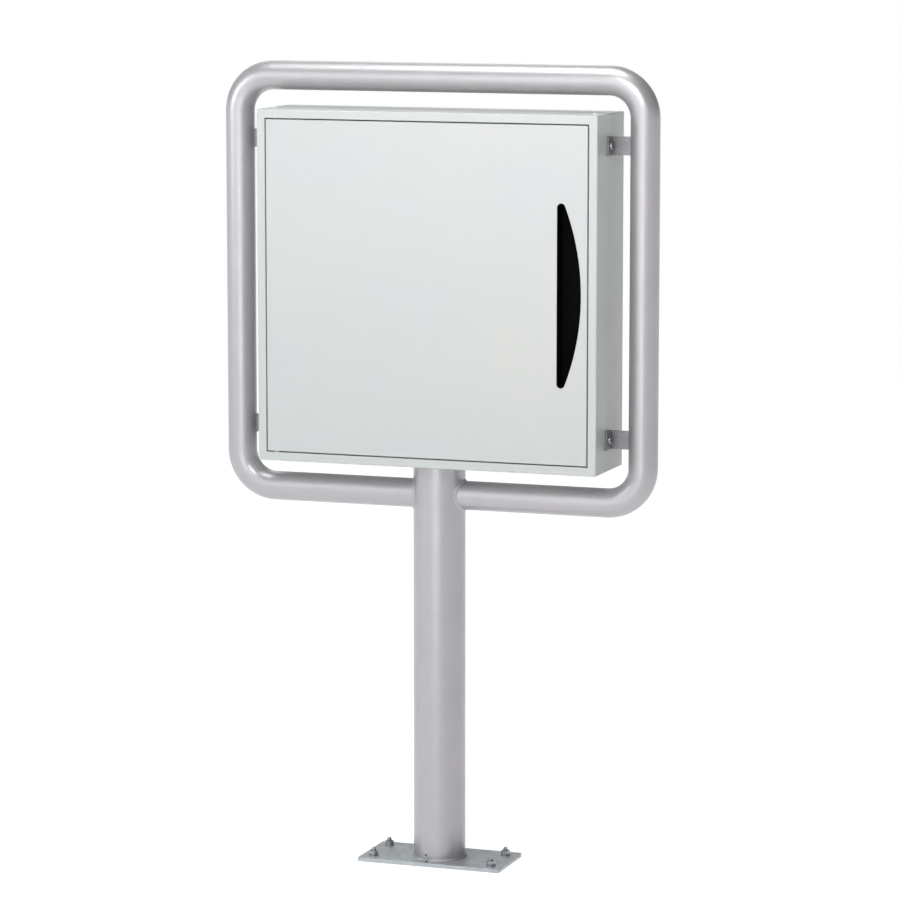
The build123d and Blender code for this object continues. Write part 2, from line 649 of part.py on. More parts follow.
def standoffs():
    """Spacers with studs, welded to the cabinet's back."""
    spacer_front = mount_front + mount_plate_t
    stud_end = mount_front - standoff_nut_h - screw_end
    spacer = rod_y(0, 0, spacer_front, back - sheet, standoff_r)
    spacer += rod_y(0, 0, stud_end, spacer_front, standoff_stud_r)
    return [Pos(x, 0, z) * spacer for x, z in standoff_places()]


def standoff_nuts():
    nut = chamfered_nut(standoff_nut_af, standoff_nut_h, standoff_stud_r)
    return [Pos(x, mount_front, z) * Rot(90, 0, 0) * nut for x, z in standoff_places()]


def panel_box(x, z, width, height, depth):
    """Moulded housing, open at its back, with rounded front corners."""
    y0 = mount_front - depth
    shell = block(around(x, width), (y0, mount_front), around(z, height))
    shell = rounded(shell, Axis.Y, panel_edge_r)
    shell = fillet(shell.faces().sort_by(Axis.Y)[0].edges(), panel_edge_r / 2)
    hollow_x, hollow_z = around(x, width - 2 * panel_wall), around(z, height - 2 * panel_wall)
    return shell - block(hollow_x, (y0 + panel_wall, mount_front + 1), hollow_z)


def window_place():
    return display_x, gear_z + display_z + window_up


def display_housing():
    """Display unit with a window and a row of indicator lamps."""
    z = gear_z + display_z
    y0 = mount_front - display_d
    shell = panel_box(display_x, z, display_w, display_h, display_d)
    wx, wz = window_place()
    shell -= block(around(wx, window_w), (y0 - 1, y0 + window_t), around(wz, window_h))
    clear_w, clear_h = window_w - 2 * window_lip, window_h - 2 * window_lip
    shell -= block(around(wx, clear_w), (y0 - 1, y0 + panel_wall + 1), around(wz, clear_h))
    for x, lz in lens_places():
        shell -= rod_y(x, lz, y0 - 1, y0 + panel_wall + 1, lens_r)
    return shell


def display_window():
    wx, wz = window_place()
    y0 = mount_front - display_d
    return block(around(wx, window_w), (y0, y0 + window_t), around(wz, window_h))


def display_screen():
    wx, wz = window_place()
    y0 = mount_front - display_d + panel_wall
    return block(around(wx, window_w), (y0, y0 + screen_t), around(wz, window_h))


def lens_places():
    first = display_x - lens_pitch * (lens_count - 1) / 2
    return [(first + i * lens_pitch, gear_z + display_z - lens_down) for i in range(lens_count)]


def indicator_lenses():
    y0 = mount_front - display_d
    lens = rod_y(0, 0, y0 - lens_proud, y0 - lens_proud + lens_len, lens_r)
    lens = fillet(lens.faces().sort_by(Axis.Y)[0].edges(), lens_proud)
    return [Pos(x, 0, z) * lens for x, z in lens_places()]


def key_places():
    """Centres of the push keys, row by row, named key_1 onwards."""
    places = []
    for row in range(key_rows):
        for column in range(key_columns):
            x = control_x - lock_drop_x / 3 + (column - (key_columns - 1) / 2) * key_pitch_x
            z = gear_z + display_z + ((key_rows - 1) / 2 - row) * key_pitch_z
            places.append((x, z))
    return places


def lock_place():
    return control_x + lock_drop_x, gear_z + display_z + lock_drop_z


def control_housing():
    """Control unit with push keys and a key switch."""
    z = gear_z + display_z
    y0 = mount_front - display_d
    shell = panel_box(control_x, z, display_w, display_h, display_d)
    wide, high = key_w + 2 * key_clear, key_h + 2 * key_clear
    for x, kz in key_places():
        shell -= block(around(x, wide), (y0 - 1, y0 + panel_wall + 1), around(kz, high))
    x, lz = lock_place()
    return shell - rod_y(x, lz, y0 - 1, y0 + panel_wall + 1, lock_r)


def push_key(x, z):
    """Key cap with a retaining flange behind the panel's front."""
    y0 = mount_front - display_d
    cap = block(around(x, key_w), (y0 - key_proud, y0 - key_proud + key_len), around(z, key_h))
    cap = fillet(cap.faces().sort_by(Axis.Y)[0].edges(), key_edge_r)
    behind = y0 + panel_wall + rest_gap
    wide, high = key_w + 2 * key_flange, key_h + 2 * key_flange
    return cap + block(around(x, wide), (behind, behind + key_flange_t), around(z, high))


def lock_body():
    x, z = lock_place()
    y0 = mount_front - display_d
    body = rod_y(x, z, y0 - lock_flange_t, y0, lock_flange_r) + rod_y(x, z, y0, y0 + lock_len, lock_r)
    return body - rod_y(x, z, y0 - lock_flange_t - 1, y0 + lock_plug_len, lock_plug_r + pivot_running_gap)


def lock_plug():
    """Turning core of the key switch with its key slot."""
    x, z = lock_place()
    y0 = mount_front - display_d - lock_flange_t
    plug = rod_y(x, z, y0, y0 + lock_plug_len, lock_plug_r)
    return plug - block(around(x, lock_slot_w), (y0 - 1, y0 + lock_slot_depth), around(z, lock_slot_h))


def call_point_front():
    return mount_front - call_d


def call_point_housing():
    """Red call point with a collar round its button."""
    z, y0 = gear_z + call_z, call_point_front()
    shell = block(around(call_x, call_w), (y0, mount_front), around(z, call_w))
    shell = rounded(shell, Axis.Y, call_edge_r)
    shell = fillet(shell.faces().sort_by(Axis.Y)[0].edges(), panel_edge_r)
    inner = call_w - 2 * panel_wall
    shell -= block(around(call_x, inner), (y0 + panel_wall, mount_front + 1), around(z, inner))
    shell += rod_y(call_x, z, y0 - call_collar_h, y0 + 1, call_collar_r + call_collar_wall)
    shell -= rod_y(call_x, z, y0 - call_collar_h - 1, y0, call_collar_r)
    return shell - rod_y(call_x, z, y0 - 1, y0 + panel_wall + 1, button_hole_r)


def call_point_button():
    z, y0 = gear_z + call_z, call_point_front()
    button = rod_y(call_x, z, y0 - button_proud, y0 - button_proud + button_len, button_r)
    button = fillet(button.faces().sort_by(Axis.Y)[0].edges(), button_edge_r)
    behind = y0 + panel_wall + rest_gap
    return button + rod_y(call_x, z, behind, behind + button_flange_t, button_r + button_flange)


def transmitter_z_range():
    return around(gear_z + transmitter_z, transmitter_h)


def transmitter_housing():
    """Box of the alarm transmitter, closed by a separate lid."""
    x, z = around(transmitter_x, transmitter_w), transmitter_z_range()
    y0 = mount_front - transmitter_d + lid_t
    box = rounded(block(x, (y0, mount_front), z), Axis.Y, panel_edge_r)
    inner_x, inner_z = (x[0] + panel_wall, x[1] - panel_wall), (z[0] + panel_wall, z[1] - panel_wall)
    box -= block(inner_x, (y0 - 1, mount_front - panel_wall), inner_z)
    for gx, gy in gland_places():
        box -= rod_z(gx, gy, z[0] - 1, z[0] + panel_wall + 1, gland_r)
    for sx, sz in lid_screw_places():
        box += rod_y(sx, sz, y0, mount_front - panel_wall, lid_screw_r + lid_boss_wall)
    for sx, sz in lid_screw_places():
        box -= rod_y(sx, sz, y0 - 1, y0 + lid_screw_bite + 2, lid_screw_r / 2)
    return box


def lid_screw_places():
    wide, high = transmitter_w - 2 * lid_screw_inset, transmitter_h - 2 * lid_screw_inset
    return [(transmitter_x + i, gear_z + transmitter_z + j) for i, j in corners(wide, high)]


def transmitter_lid():
    y0 = mount_front - transmitter_d
    lid = block(around(transmitter_x, transmitter_w), (y0, y0 + lid_t), transmitter_z_range())
    lid = rounded(lid, Axis.Y, panel_edge_r)
    lid = fillet(lid.faces().sort_by(Axis.Y)[0].edges(), panel_edge_r / 2)
    for x, z in lid_screw_places():
        lid -= rod_y(x, z, y0 - 1, y0 + lid_t / 2, lid_screw_r)
        lid -= rod_y(x, z, y0 - 1, y0 + lid_t + 1, lid_screw_r / 2)
    return lid


def lid_screws():
    y0 = mount_front - transmitter_d
    seat = y0 + lid_t / 2
    head_y = y0 + lid_screw_sunk
    screw = rod_y(0, 0, head_y, seat, lid_screw_r)
    screw += rod_y(0, 0, seat, y0 + lid_t + lid_screw_bite, lid_screw_r / 2)
    slot_y = (y0, head_y + lid_slot_depth)
    screw -= block(around(0, lid_slot_w), slot_y, around(0, 2 * lid_screw_r + 1))
    return [Pos(x, 0, z) * screw for x, z in lid_screw_places()]


def gland_places():
    y = mount_front - transmitter_d / 2
    first = transmitter_x - gland_pitch * (gland_count - 1) / 2
    return [(first + i * gland_pitch, y) for i in range(gland_count)]


def cable_glands():
    """Blanked glands under the transmitter."""
    top = transmitter_z_range()[0]
    gland = Pos(0, 0, top - gland_hex_h) * hexagon(gland_hex_af, gland_hex_h)
    cap = rod_z(0, 0, top - gland_len, top - gland_hex_h, gland_hex_af / 2 - 1)
    gland += fillet(cap.faces().sort_by(Axis.Z)[0].edges(), gland_edge_r)
    gland += rod_z(0, 0, top, top + panel_wall, gland_r)
    return [Pos(x, y, 0) * gland for x, y in gland_places()]


def din_rail():
    """Top-hat rail screwed to the mounting plate."""
    x, z = around(rail_x, rail_w), gear_z + rail_z
    web = block(x, (mount_front - rail_sheet, mount_front), around(z, rail_web_h))
    rail = web
    for side in (-1, 1):
        edge = z + side * rail_web_h / 2
        rim = z + side * rail_h / 2
        wall_z = sorted((edge, edge + side * rail_sheet))
        rim_z = sorted((edge, rim))
        rail += block(x, (mount_front - rail_d, mount_front), wall_z)
        rail += block(x, (mount_front - rail_d, mount_front - rail_d + rail_sheet), rim_z)
    return rail


def terminal_blocks():
    """Row of terminals clipped on the rail, each with a wire funnel and a screw well."""
    z, y1 = gear_z + rail_z, mount_front - rail_d
    first = rail_x - rail_w / 2 + terminal_start
    y0 = y1 - terminal_d
    blocks = []
    for i in range(terminal_count):
        x0 = first + i * (terminal_w + terminal_gap)
        mid_x = x0 + terminal_w / 2
        unit = block((x0, x0 + terminal_w), (y0, y1), around(z, terminal_h))
        for side in (-1, 1):
            well_z = z + side * terminal_h * screw_well_share
            funnel_z = z + side * terminal_h * funnel_share
            unit -= rod_y(mid_x, well_z, y0 - 1, y0 + screw_well_depth, screw_well_r)
            unit -= rod_y(mid_x, funnel_z, y0 - 1, y0 + funnel_depth, funnel_r)
        blocks.append(unit)
    return blocks


def breaker_place():
    return rail_x + rail_w / 2 - breaker_from_end, gear_z + rail_z


def lever_axis_y():
    return mount_front - rail_d - breaker_d - breaker_nose_d + lever_r


def circuit_breaker():
    """Miniature breaker on the rail, with a round well for its lever."""
    x, z = breaker_place()
    y1 = mount_front - rail_d
    body = block(around(x, breaker_w), (y1 - breaker_d, y1), around(z, breaker_h))
    body += block(around(x, breaker_w), (y1 - breaker_d - breaker_nose_d, y1), around(z, breaker_nose))
    wide = lever_w + 2 * lever_gap
    well = rod_x(lever_axis_y(), z, x - wide / 2, x + wide / 2, lever_r + lever_gap)
    return body - well - lever_sweep(wide)


def lever_sweep(wide):
    """Room in front of the well for the lever's whole throw."""
    x, z = breaker_place()
    y = lever_axis_y()
    depth = (y - lever_r - 2 * lever_len, y - lever_r / 5)
    return block(around(x, wide), depth, around(z, 2 * (lever_r + lever_gap)))


def breaker_lever():
    """Rocking lever, drawn in its on position."""
    x, z = breaker_place()
    drum = rod_x(0, 0, x - lever_w / 2, x + lever_w / 2, lever_r)
    finger = block(around(x, lever_w), (-lever_r - lever_len, 0), around(0, lever_t))
    finger = fillet(finger.faces().sort_by(Axis.Y)[0].edges().filter_by(Axis.X), lever_edge_r)
    return Pos(0, lever_axis_y(), z) * (Rot(-lever_tilt, 0, 0) * (drum + finger))


def power_supply():
    """Sheet metal case of the power supply with vent slots in its front."""
    x, z = around(supply_x, supply_w), around(gear_z + supply_z, supply_h)
    y0, wall = mount_front - supply_d, supply_sheet
    case = block(x, (y0, mount_front), z)
    case -= block((x[0] + wall, x[1] - wall), (y0 + wall, mount_front - wall), (z[0] + wall, z[1] - wall))
    first = supply_x - vent_pitch * (vent_count - 1) / 2
    for i in range(vent_count):
        slot_x = around(first + i * vent_pitch, vent_w)
        case -= block(slot_x, (y0 - 1, y0 + wall + 1), around(gear_z + supply_z, vent_h))
    return case


def anti_frost_heater():
    """Small finned heater that keeps the gear dry."""
    x, z = around(heater_x, heater_w), around(gear_z + heater_z, heater_h)
    heater = block(x, (mount_front - heater_core_d, mount_front), z)
    step = (heater_w - heater_fin_t) / (heater_fins - 1)
    for i in range(heater_fins):
        x0 = x[0] + i * step
        heater += block((x0, x0 + heater_fin_t), (mount_front - heater_d, mount_front), z)
    return heater


def battery_base():
    return cab_z0 + sheet + tray_up + tray_sheet


def battery_y():
    return (mount_front - strap_t - battery_d, mount_front - strap_t)


def battery_tray():
    """Folded tray on the cabinet's floor."""
    x = around(battery_x, battery_w + 2 * tray_sheet)
    y = (battery_y()[0] - tray_sheet, mount_front - tray_from_plate)
    z0 = battery_base() - tray_sheet
    tray = block(x, y, (z0, z0 + tray_lip))
    hollow_y, hollow_z = (y[0] + tray_sheet, y[1] + 1), (z0 + tray_sheet, z0 + 2 * tray_lip)
    tray -= block(around(battery_x, battery_w), hollow_y, hollow_z)
    for foot_x in (x[0], x[1] - tray_sheet):
        tray += block((foot_x, foot_x + tray_sheet), y, (cab_z0 + sheet, z0 + 1))
    return tray


def battery():
    """Sealed battery with a lid line round its case."""
    z0, y = battery_base(), battery_y()
    lid_z0, step = z0 + battery_h - battery_cover_h, battery_lid_step
    case = block(around(battery_x, battery_w), y, (z0, lid_z0))
    lid_y, lid_z = (y[0] + step, y[1] - step), (lid_z0, z0 + battery_h)
    lid = block(around(battery_x, battery_w - 2 * step), lid_y, lid_z)
    return rounded(case, Axis.Z, battery_edge_r) + rounded(lid, Axis.Z, battery_edge_r)


def battery_lugs():
    z0 = battery_base() + battery_h
    y, off = battery_y()[0] + battery_lug_in, battery_w * battery_lug_share
    lug = block(around(0, battery_lug_w), (y, y + battery_lug_t), (z0, z0 + battery_lug_h))
    return [Pos(battery_x + side * off, 0, 0) * lug for side in (-1, 1)]


def battery_strap():
    """Steel strap over the battery, fixed to the mounting plate."""
    z0 = battery_base() + tray_lip
    z1 = battery_base() + battery_h
    x = around(battery_x, strap_w)
    y0 = battery_y()[0] - strap_t
    strap = block(x, (y0, y0 + strap_t), (z0, z1 + strap_t))
    strap += block(x, (y0, mount_front), (z1, z1 + strap_t))
    strap += block(x, (mount_front - strap_t, mount_front), (z1, z1 + strap_tab))
    return strap


def earth_stud():
    """Earthing stud with its nut on the cabinet's floor."""
    z0 = cab_z0 + sheet
    return rod_z(floor_earth_x, 0, z0, z0 + floor_earth_len, floor_earth_r)


def earth_nut():
    nut = chamfered_nut(bracket_nut_af, bracket_nut_h, floor_earth_r)
    return Pos(floor_earth_x, 0, cab_z0 + sheet + floor_nut_up) * nut


# ---------------------------------------------------------------- writing the pieces
os.makedirs("parts", exist_ok=True)

save("base_plate", base_plate())
save("post_tube", post_tube())
save("post_head", post_head())
save("frame_tube", frame_tube())
save("weld_beads", foot_weld(), frame_welds())
save("anchor_studs", *anchor_studs())
save("anchor_nuts", *anchor_washers(), *anchor_nuts())
save("earth_screw", earth_screw())
save("frame_brackets", *[bracket(side, z) for side in (-1, 1) for z in bracket_heights()])
save("bracket_screws", *bracket_screws())
save("bracket_nuts", *bracket_washers(), *bracket_nuts())

save("cabinet_body", cabinet_body())
save("jamb_frame", jamb_frame())
save("door_seal", door_seal())
save("roof_plugs", *roof_plugs())
save("floor_gasket", floor_gasket())
save("cable_grommet", cable_grommet())
save("floor_screws", *floor_screws())
save("pivot_blocks", pivot_block(True), pivot_block(False))
save("pivot_pins", pivot_pin(True), pivot_pin(False), thrust_washer())
save("magnet_catches", *magnet_catches())
save("door_contact", door_contact())

save("door_panel", door_panel())
save("door_inner_panel", door_inner_panel())
save("door_stiffeners", *door_stiffeners())
save("grip_cup", grip_cup())
save("pivot_bushes", bush_block(True), bush_block(False))
save("strike_plates", *strike_plates())
save("contact_magnet", contact_magnet())
save("card_pocket", card_pocket())
save("route_cards", *route_cards())

save("mounting_plate", mounting_plate())
save("standoffs", *standoffs(), *standoff_nuts())
save("display_housing", display_housing())
save("display_window", display_window())
save("display_screen", display_screen())
save("indicator_lenses", *indicator_lenses())
save("control_housing", control_housing())
for number, (key_x, key_z) in enumerate(key_places(), 1):
    save(f"key_{number}", push_key(key_x, key_z))
save("lock_body", lock_body())
save("lock_plug", lock_plug())
save("call_point_housing", call_point_housing())
save("call_point_button", call_point_button())
save("transmitter_housing", transmitter_housing())
save("transmitter_lid", transmitter_lid(), *lid_screws())
save("cable_glands", *cable_glands())
save("din_rail", din_rail())
save("terminal_blocks", *terminal_blocks())
save("circuit_breaker", circuit_breaker())
save("breaker_lever", breaker_lever())
save("power_supply", power_supply())
save("heater", anti_frost_heater())
save("battery_tray", battery_tray())
save("battery", battery(), *battery_lugs())
save("battery_strap", battery_strap())
save("earth_stud", earth_stud(), earth_nut())
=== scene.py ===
import json
import logging
import math
from dataclasses import dataclass
from enum import Enum
from typing import Protocol

import bpy
import numpy as np
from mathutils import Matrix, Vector


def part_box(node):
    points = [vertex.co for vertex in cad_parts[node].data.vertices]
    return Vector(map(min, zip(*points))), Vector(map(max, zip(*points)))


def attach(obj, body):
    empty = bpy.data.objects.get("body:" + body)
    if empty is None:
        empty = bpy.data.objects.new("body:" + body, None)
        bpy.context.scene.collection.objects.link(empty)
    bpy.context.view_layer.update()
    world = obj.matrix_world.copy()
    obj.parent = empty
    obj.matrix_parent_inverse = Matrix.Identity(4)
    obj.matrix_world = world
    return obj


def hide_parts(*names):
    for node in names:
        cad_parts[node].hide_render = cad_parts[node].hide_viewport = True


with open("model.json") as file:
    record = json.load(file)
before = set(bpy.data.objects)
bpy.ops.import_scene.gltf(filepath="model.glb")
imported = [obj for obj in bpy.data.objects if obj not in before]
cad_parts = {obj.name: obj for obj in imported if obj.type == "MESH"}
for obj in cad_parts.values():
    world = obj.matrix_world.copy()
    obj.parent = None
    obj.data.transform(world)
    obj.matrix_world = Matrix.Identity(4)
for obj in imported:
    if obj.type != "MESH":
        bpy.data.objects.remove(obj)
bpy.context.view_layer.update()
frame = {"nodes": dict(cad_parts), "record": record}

# The looks of a street fire alarm station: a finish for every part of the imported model, the
# shaped pieces that stand in for its plain ones, and the floor, lights and camera round it.
# Metres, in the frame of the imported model: X to the right, Y to the back, Z up.

MM = 0.001
MICRON = 0.001 * MM

Colour = tuple[float, float, float]
Point = tuple[float, float, float]
Ramp = tuple[float, ...]  # start, end, value at the start and, unless another node gives it, at the end
Socket = bpy.types.NodeSocket
log = logging.getLogger("station")


# ---------------------------------------------------------------- node graphs
class Graph:
    """A material's node tree with short calls for adding nodes and joining them.

    An edge mask starts and is full where 1 minus the cosine of the turn is edge_start and edge_full.
    """

    edge_samples: int = 4
    edge_start: float = 0.02
    edge_full: float = 0.2

    def __init__(self, name: str) -> None:
        """Starts a material of that name with one principled shader.

        Args:
            name: The material's name.
        """
        self.material = bpy.data.materials.new(name)
        self.material.use_nodes = True
        self.tree = self.material.node_tree
        self.shader = self.tree.nodes["Principled BSDF"]
        self.place = self.node("TexCoord").outputs["Object"]

    def node(self, kind: str, inputs: dict | None = None, **settings: object) -> bpy.types.Node:
        """Adds a node.

        Args:
            kind: The node's type without its ShaderNode prefix.
            inputs: Values or sockets by input name or number.
            **settings: Properties of the node itself.

        Returns:
            The new node.
        """
        made = self.tree.nodes.new("ShaderNode" + kind)
        for name, value in settings.items():
            setattr(made, name, value)
        for name, value in (inputs or {}).items():
            self.join(value, made.inputs[name])
        return made

    def join(self, value: object, socket: Socket) -> None:
        """Links a socket to an input, or sets the input's own value.

        Args:
            value: An output socket, a number, or a colour of three numbers.
            socket: The input that takes it.
        """
        if isinstance(value, Socket):
            self.tree.links.new(value, socket)
        elif socket.type == "RGBA":
            socket.default_value = (*value, 1.0)
        else:
            socket.default_value = value

    def mapped(self, scale: Point, turn: Point = (0.0, 0.0, 0.0)) -> Socket:
        """Object coordinates scaled and turned.

        Args:
            scale: Factor for each axis.
            turn: Turn about each axis in radians, after the scale.

        Returns:
            The new coordinates' socket.
        """
        inputs = {"Vector": self.place, "Scale": scale, "Rotation": turn}
        return self.node("Mapping", inputs).outputs["Vector"]

    def upright(self) -> Socket:
        """Returns object coordinates turned so that a pattern made for X and Y lies in X and Z."""
        return self.mapped((1.0, 1.0, 1.0), (-math.pi / 2, 0.0, 0.0))

    def noise(
        self, scale: float, detail: float, rough: float = 0.5, at: Socket | None = None
    ) -> Socket:
        """Fractal noise over the surface.

        Args:
            scale: Features per metre.
            detail: Octaves of finer noise.
            rough: How strong each finer octave is.
            at: Coordinates, when they aren't the plain object coordinates.

        Returns:
            The noise's value, round 0.5.
        """
        inputs = {"Vector": at or self.place, "Scale": scale, "Detail": detail, "Roughness": rough}
        return self.node("TexNoise", inputs).outputs["Fac"]

    def fit(
        self, value: Socket, low: float, high: float, to_low: float = 0.0, to_high: float = 1.0
    ) -> Socket:
        """Carries a value from one range to another, held at its ends.

        Args:
            value: The socket read.
            low: Value that gives to_low.
            high: Value that gives to_high.
            to_low: Result at low.
            to_high: Result at high.

        Returns:
            The result's socket.
        """
        ends = {"From Min": low, "From Max": high, "To Min": to_low, "To Max": to_high}
        return self.node("MapRange", {"Value": value, **ends}).outputs["Result"]

    def mottle(
        self, scale: float, detail: float, low: float, high: float, to_low: float = 0.0,
        to_high: float = 1.0, rough: float = 0.5, at: Socket | None = None,
    ) -> Socket:
        """Fractal noise carried to a range of results, held at its ends.

        Args:
            scale: Features per metre.
            detail: Octaves of finer noise.
            low: Noise value that gives to_low.
            high: Noise value that gives to_high.
            to_low: Result at low.
            to_high: Result at high.
            rough: How strong each finer octave is.
            at: Coordinates, when they aren't the plain object coordinates.

        Returns:
            The result's socket.
        """
        return self.fit(self.noise(scale, detail, rough, at), low, high, to_low, to_high)

    def combined(self, kind: str, a: object, b: object) -> Socket:
        """Returns one Math node of that kind on two values."""
        return self.node("Math", {0: a, 1: b}, operation=kind).outputs[0]

    def mix(self, share: object, a: object, b: object) -> Socket:
        """Returns colour a blended towards colour b by a share."""
        return self.node("Mix", {0: share, 6: a, 7: b}, data_type="RGBA").outputs[2]

    def bump(self, height: Socket, distance: float, under: Socket | None = None) -> Socket:
        """A normal tilted by a height.

        Args:
            height: The height's socket, 0 to 1.
            distance: Metres from height 0 to height 1.
            under: A normal that this one is laid over.

        Returns:
            The normal's socket.
        """
        made = self.node("Bump", {"Height": height, "Distance": distance})
        if under is not None:
            self.join(under, made.inputs["Normal"])
        return made.outputs["Normal"]

    def edges(self, radius: float) -> Socket:
        """A mask that is 1 on sharp edges: how far a rounded normal leaves the flat one.

        Args:
            radius: Metres from the edge that the mask reaches.

        Returns:
            The mask's socket.
        """
        rounded = self.node("Bevel", {"Radius": radius}, samples=self.edge_samples).outputs["Normal"]
        flat = self.node("NewGeometry").outputs["True Normal"]
        dot = self.node("VectorMath", {0: rounded, 1: flat}, operation="DOT_PRODUCT").outputs["Value"]
        return self.fit(dot, 1.0 - self.edge_start, 1.0 - self.edge_full)

    def finish(self, **values: object) -> bpy.types.Material:
        """Sets the shader's inputs.

        Args:
            **values: Value or socket by the input's name, with _ for a space.

        Returns:
            The finished material.
        """
        for name, value in values.items():
            self.join(value, self.shader.inputs[name.replace("_", " ")])
        return self.material


def scaled(colour: Colour, factor: float) -> Colour:
    """Returns a colour multiplied by a factor, held at 1."""
    return tuple(min(1.0, c * factor) for c in colour)


# ---------------------------------------------------------------- finishes
class Finish(Protocol):
    """Anything with a name that can build a material."""

    @property
    def name(self) -> str:
        """The material's name, which is also its slot's."""

    def make(self) -> bpy.types.Material:
        """Builds the material."""


class Grain(Enum):
    """The way a metal was worked, as the stretch of its marks along each axis."""

    ALONG_X = (0.02, 1.0, 1.0)
    ALONG_Y = (1.0, 0.02, 1.0)
    ALONG_Z = (1.0, 1.0, 0.02)
    NONE = (1.0, 1.0, 1.0)


@dataclass(frozen=True)
class PowderPaint:
    """Baked powder paint: orange peel, slow shade changes, fine specks, dust, and edges lightened in
    patches, partly as rubbed wear and partly as a painted highlight.
    """

    name: str
    colour: Colour
    cloud: Colour
    speck: Colour
    roughness: float = 0.4
    metallic: float = 0.0
    cloud_scale: float = 9.0
    speck_scale: float = 1500.0
    speck_share: float = 0.5
    peel_scale: float = 700.0
    peel_depth: float = 30 * MICRON
    fine_scale: float = 2800.0
    fine_depth: float = 4 * MICRON
    dirt: Colour = (0.30, 0.29, 0.27)
    dirt_share: float = 0.02
    dirt_scale: Point = (38.0, 38.0, 3.0)
    edge: float = 1.4 * MM
    # The edge tone lightens the edges: partly rubbed paint, partly a painted highlight along them.
    edge_wear_and_highlight: float = 1.3
    coat: float = 0.2
    coat_roughness: float = 0.25

    def make(self) -> bpy.types.Material:
        """Builds the material."""
        g = Graph(self.name)
        clouds = g.mottle(self.cloud_scale, detail=5.0, rough=0.62, low=0.32, high=0.68)
        body = g.mix(clouds, self.colour, self.cloud)
        flecks = g.mottle(
            self.speck_scale, detail=3.0, rough=0.7, low=0.5, high=0.75, to_high=self.speck_share
        )
        body = g.mix(flecks, body, self.speck)
        # Edges lightened in patches: rubbed paint, and also a painted highlight where light would catch the
        # edges.
        rubbed_and_highlit = g.mottle(70.0, detail=4.0, low=0.38, high=0.62, to_low=0.15, to_high=0.75)
        worn_and_highlit_edges = g.combined("MULTIPLY", g.edges(self.edge), rubbed_and_highlit)
        body = g.mix(worn_and_highlit_edges, body, scaled(self.colour, self.edge_wear_and_highlight))
        streaks = g.mottle(
            1.0, detail=6.0, rough=0.62, low=0.52, high=0.8, to_high=self.dirt_share,
            at=g.mapped(self.dirt_scale),
        )
        body = g.mix(streaks, body, self.dirt)
        gloss = g.mottle(
            16.0, detail=5.0, rough=0.6, low=0.3, high=0.7, to_low=self.roughness - 0.05,
            to_high=self.roughness + 0.06,
        )
        fine = g.bump(g.noise(self.fine_scale, detail=1.0), self.fine_depth)
        peel = g.bump(g.noise(self.peel_scale, detail=1.5, rough=0.4), self.peel_depth, fine)
        return g.finish(
            Base_Color=body, Roughness=g.combined("ADD", gloss, streaks), Normal=peel,
            Metallic=self.metallic, Coat_Weight=self.coat, Coat_Roughness=self.coat_roughness,
        )


@dataclass(frozen=True)
class Galvanised:
    """Zinc coat with crystal flakes, each with its own shade and gloss, and dull rubbed places."""

    name: str
    colour: Colour
    shade: Colour
    roughness: float = 0.42
    metallic: float = 0.75
    flake_scale: float = 110.0
    flake_step: float = 8 * MICRON
    bend_scale: float = 1.4
    bend_share: float = 0.012
    grain_depth: float = 20 * MICRON
    dull_tone: float = 0.82
    dull_roughness: float = 0.3
    edge: float = 1.2 * MM
    # The edge tone lightens the edges: partly rubbed zinc, partly a painted highlight along them.
    edge_wear_and_highlight: float = 1.35

    def make(self) -> bpy.types.Material:
        """Builds the material. The flakes' outlines are bent by a noise finer than the flakes."""
        g = Graph(self.name)
        finer = self.flake_scale * self.bend_scale
        bend = g.node("TexNoise", {"Vector": g.place, "Scale": finer, "Detail": 2.0}).outputs["Color"]
        bent = g.node("MixRGB", {0: self.bend_share, 1: g.place, 2: bend}).outputs[0]
        flakes = g.node("TexVoronoi", {"Vector": bent, "Scale": self.flake_scale}).outputs["Color"]
        tone, gloss, level = g.node("SeparateColor", {0: flakes}).outputs
        body = g.mix(g.fit(tone, 0.0, 1.0, to_low=0.1, to_high=0.9), self.colour, self.shade)
        dull = g.mottle(24.0, detail=6.0, rough=0.66, low=0.45, high=0.75, to_high=0.5)
        body = g.mix(dull, body, scaled(self.shade, self.dull_tone))
        # Edges lightened in patches: rubbed zinc, and also a painted highlight where light would catch the
        # edges.
        rubbed_and_highlit = g.mottle(90.0, detail=4.0, low=0.35, high=0.6, to_low=0.3, to_high=0.9)
        worn_and_highlit_edges = g.combined("MULTIPLY", g.edges(self.edge), rubbed_and_highlit)
        body = g.mix(worn_and_highlit_edges, body, scaled(self.colour, self.edge_wear_and_highlight))
        shine = g.fit(gloss, 0.0, 1.0, self.roughness - 0.08, self.roughness + 0.08)
        rough = g.combined("ADD", shine, g.combined("MULTIPLY", dull, self.dull_roughness))
        grain = g.bump(g.noise(900.0, detail=3.0, rough=0.6), self.grain_depth)
        normal = g.bump(level, self.flake_step, grain)
        return g.finish(Base_Color=body, Roughness=rough, Normal=normal, Metallic=self.metallic)


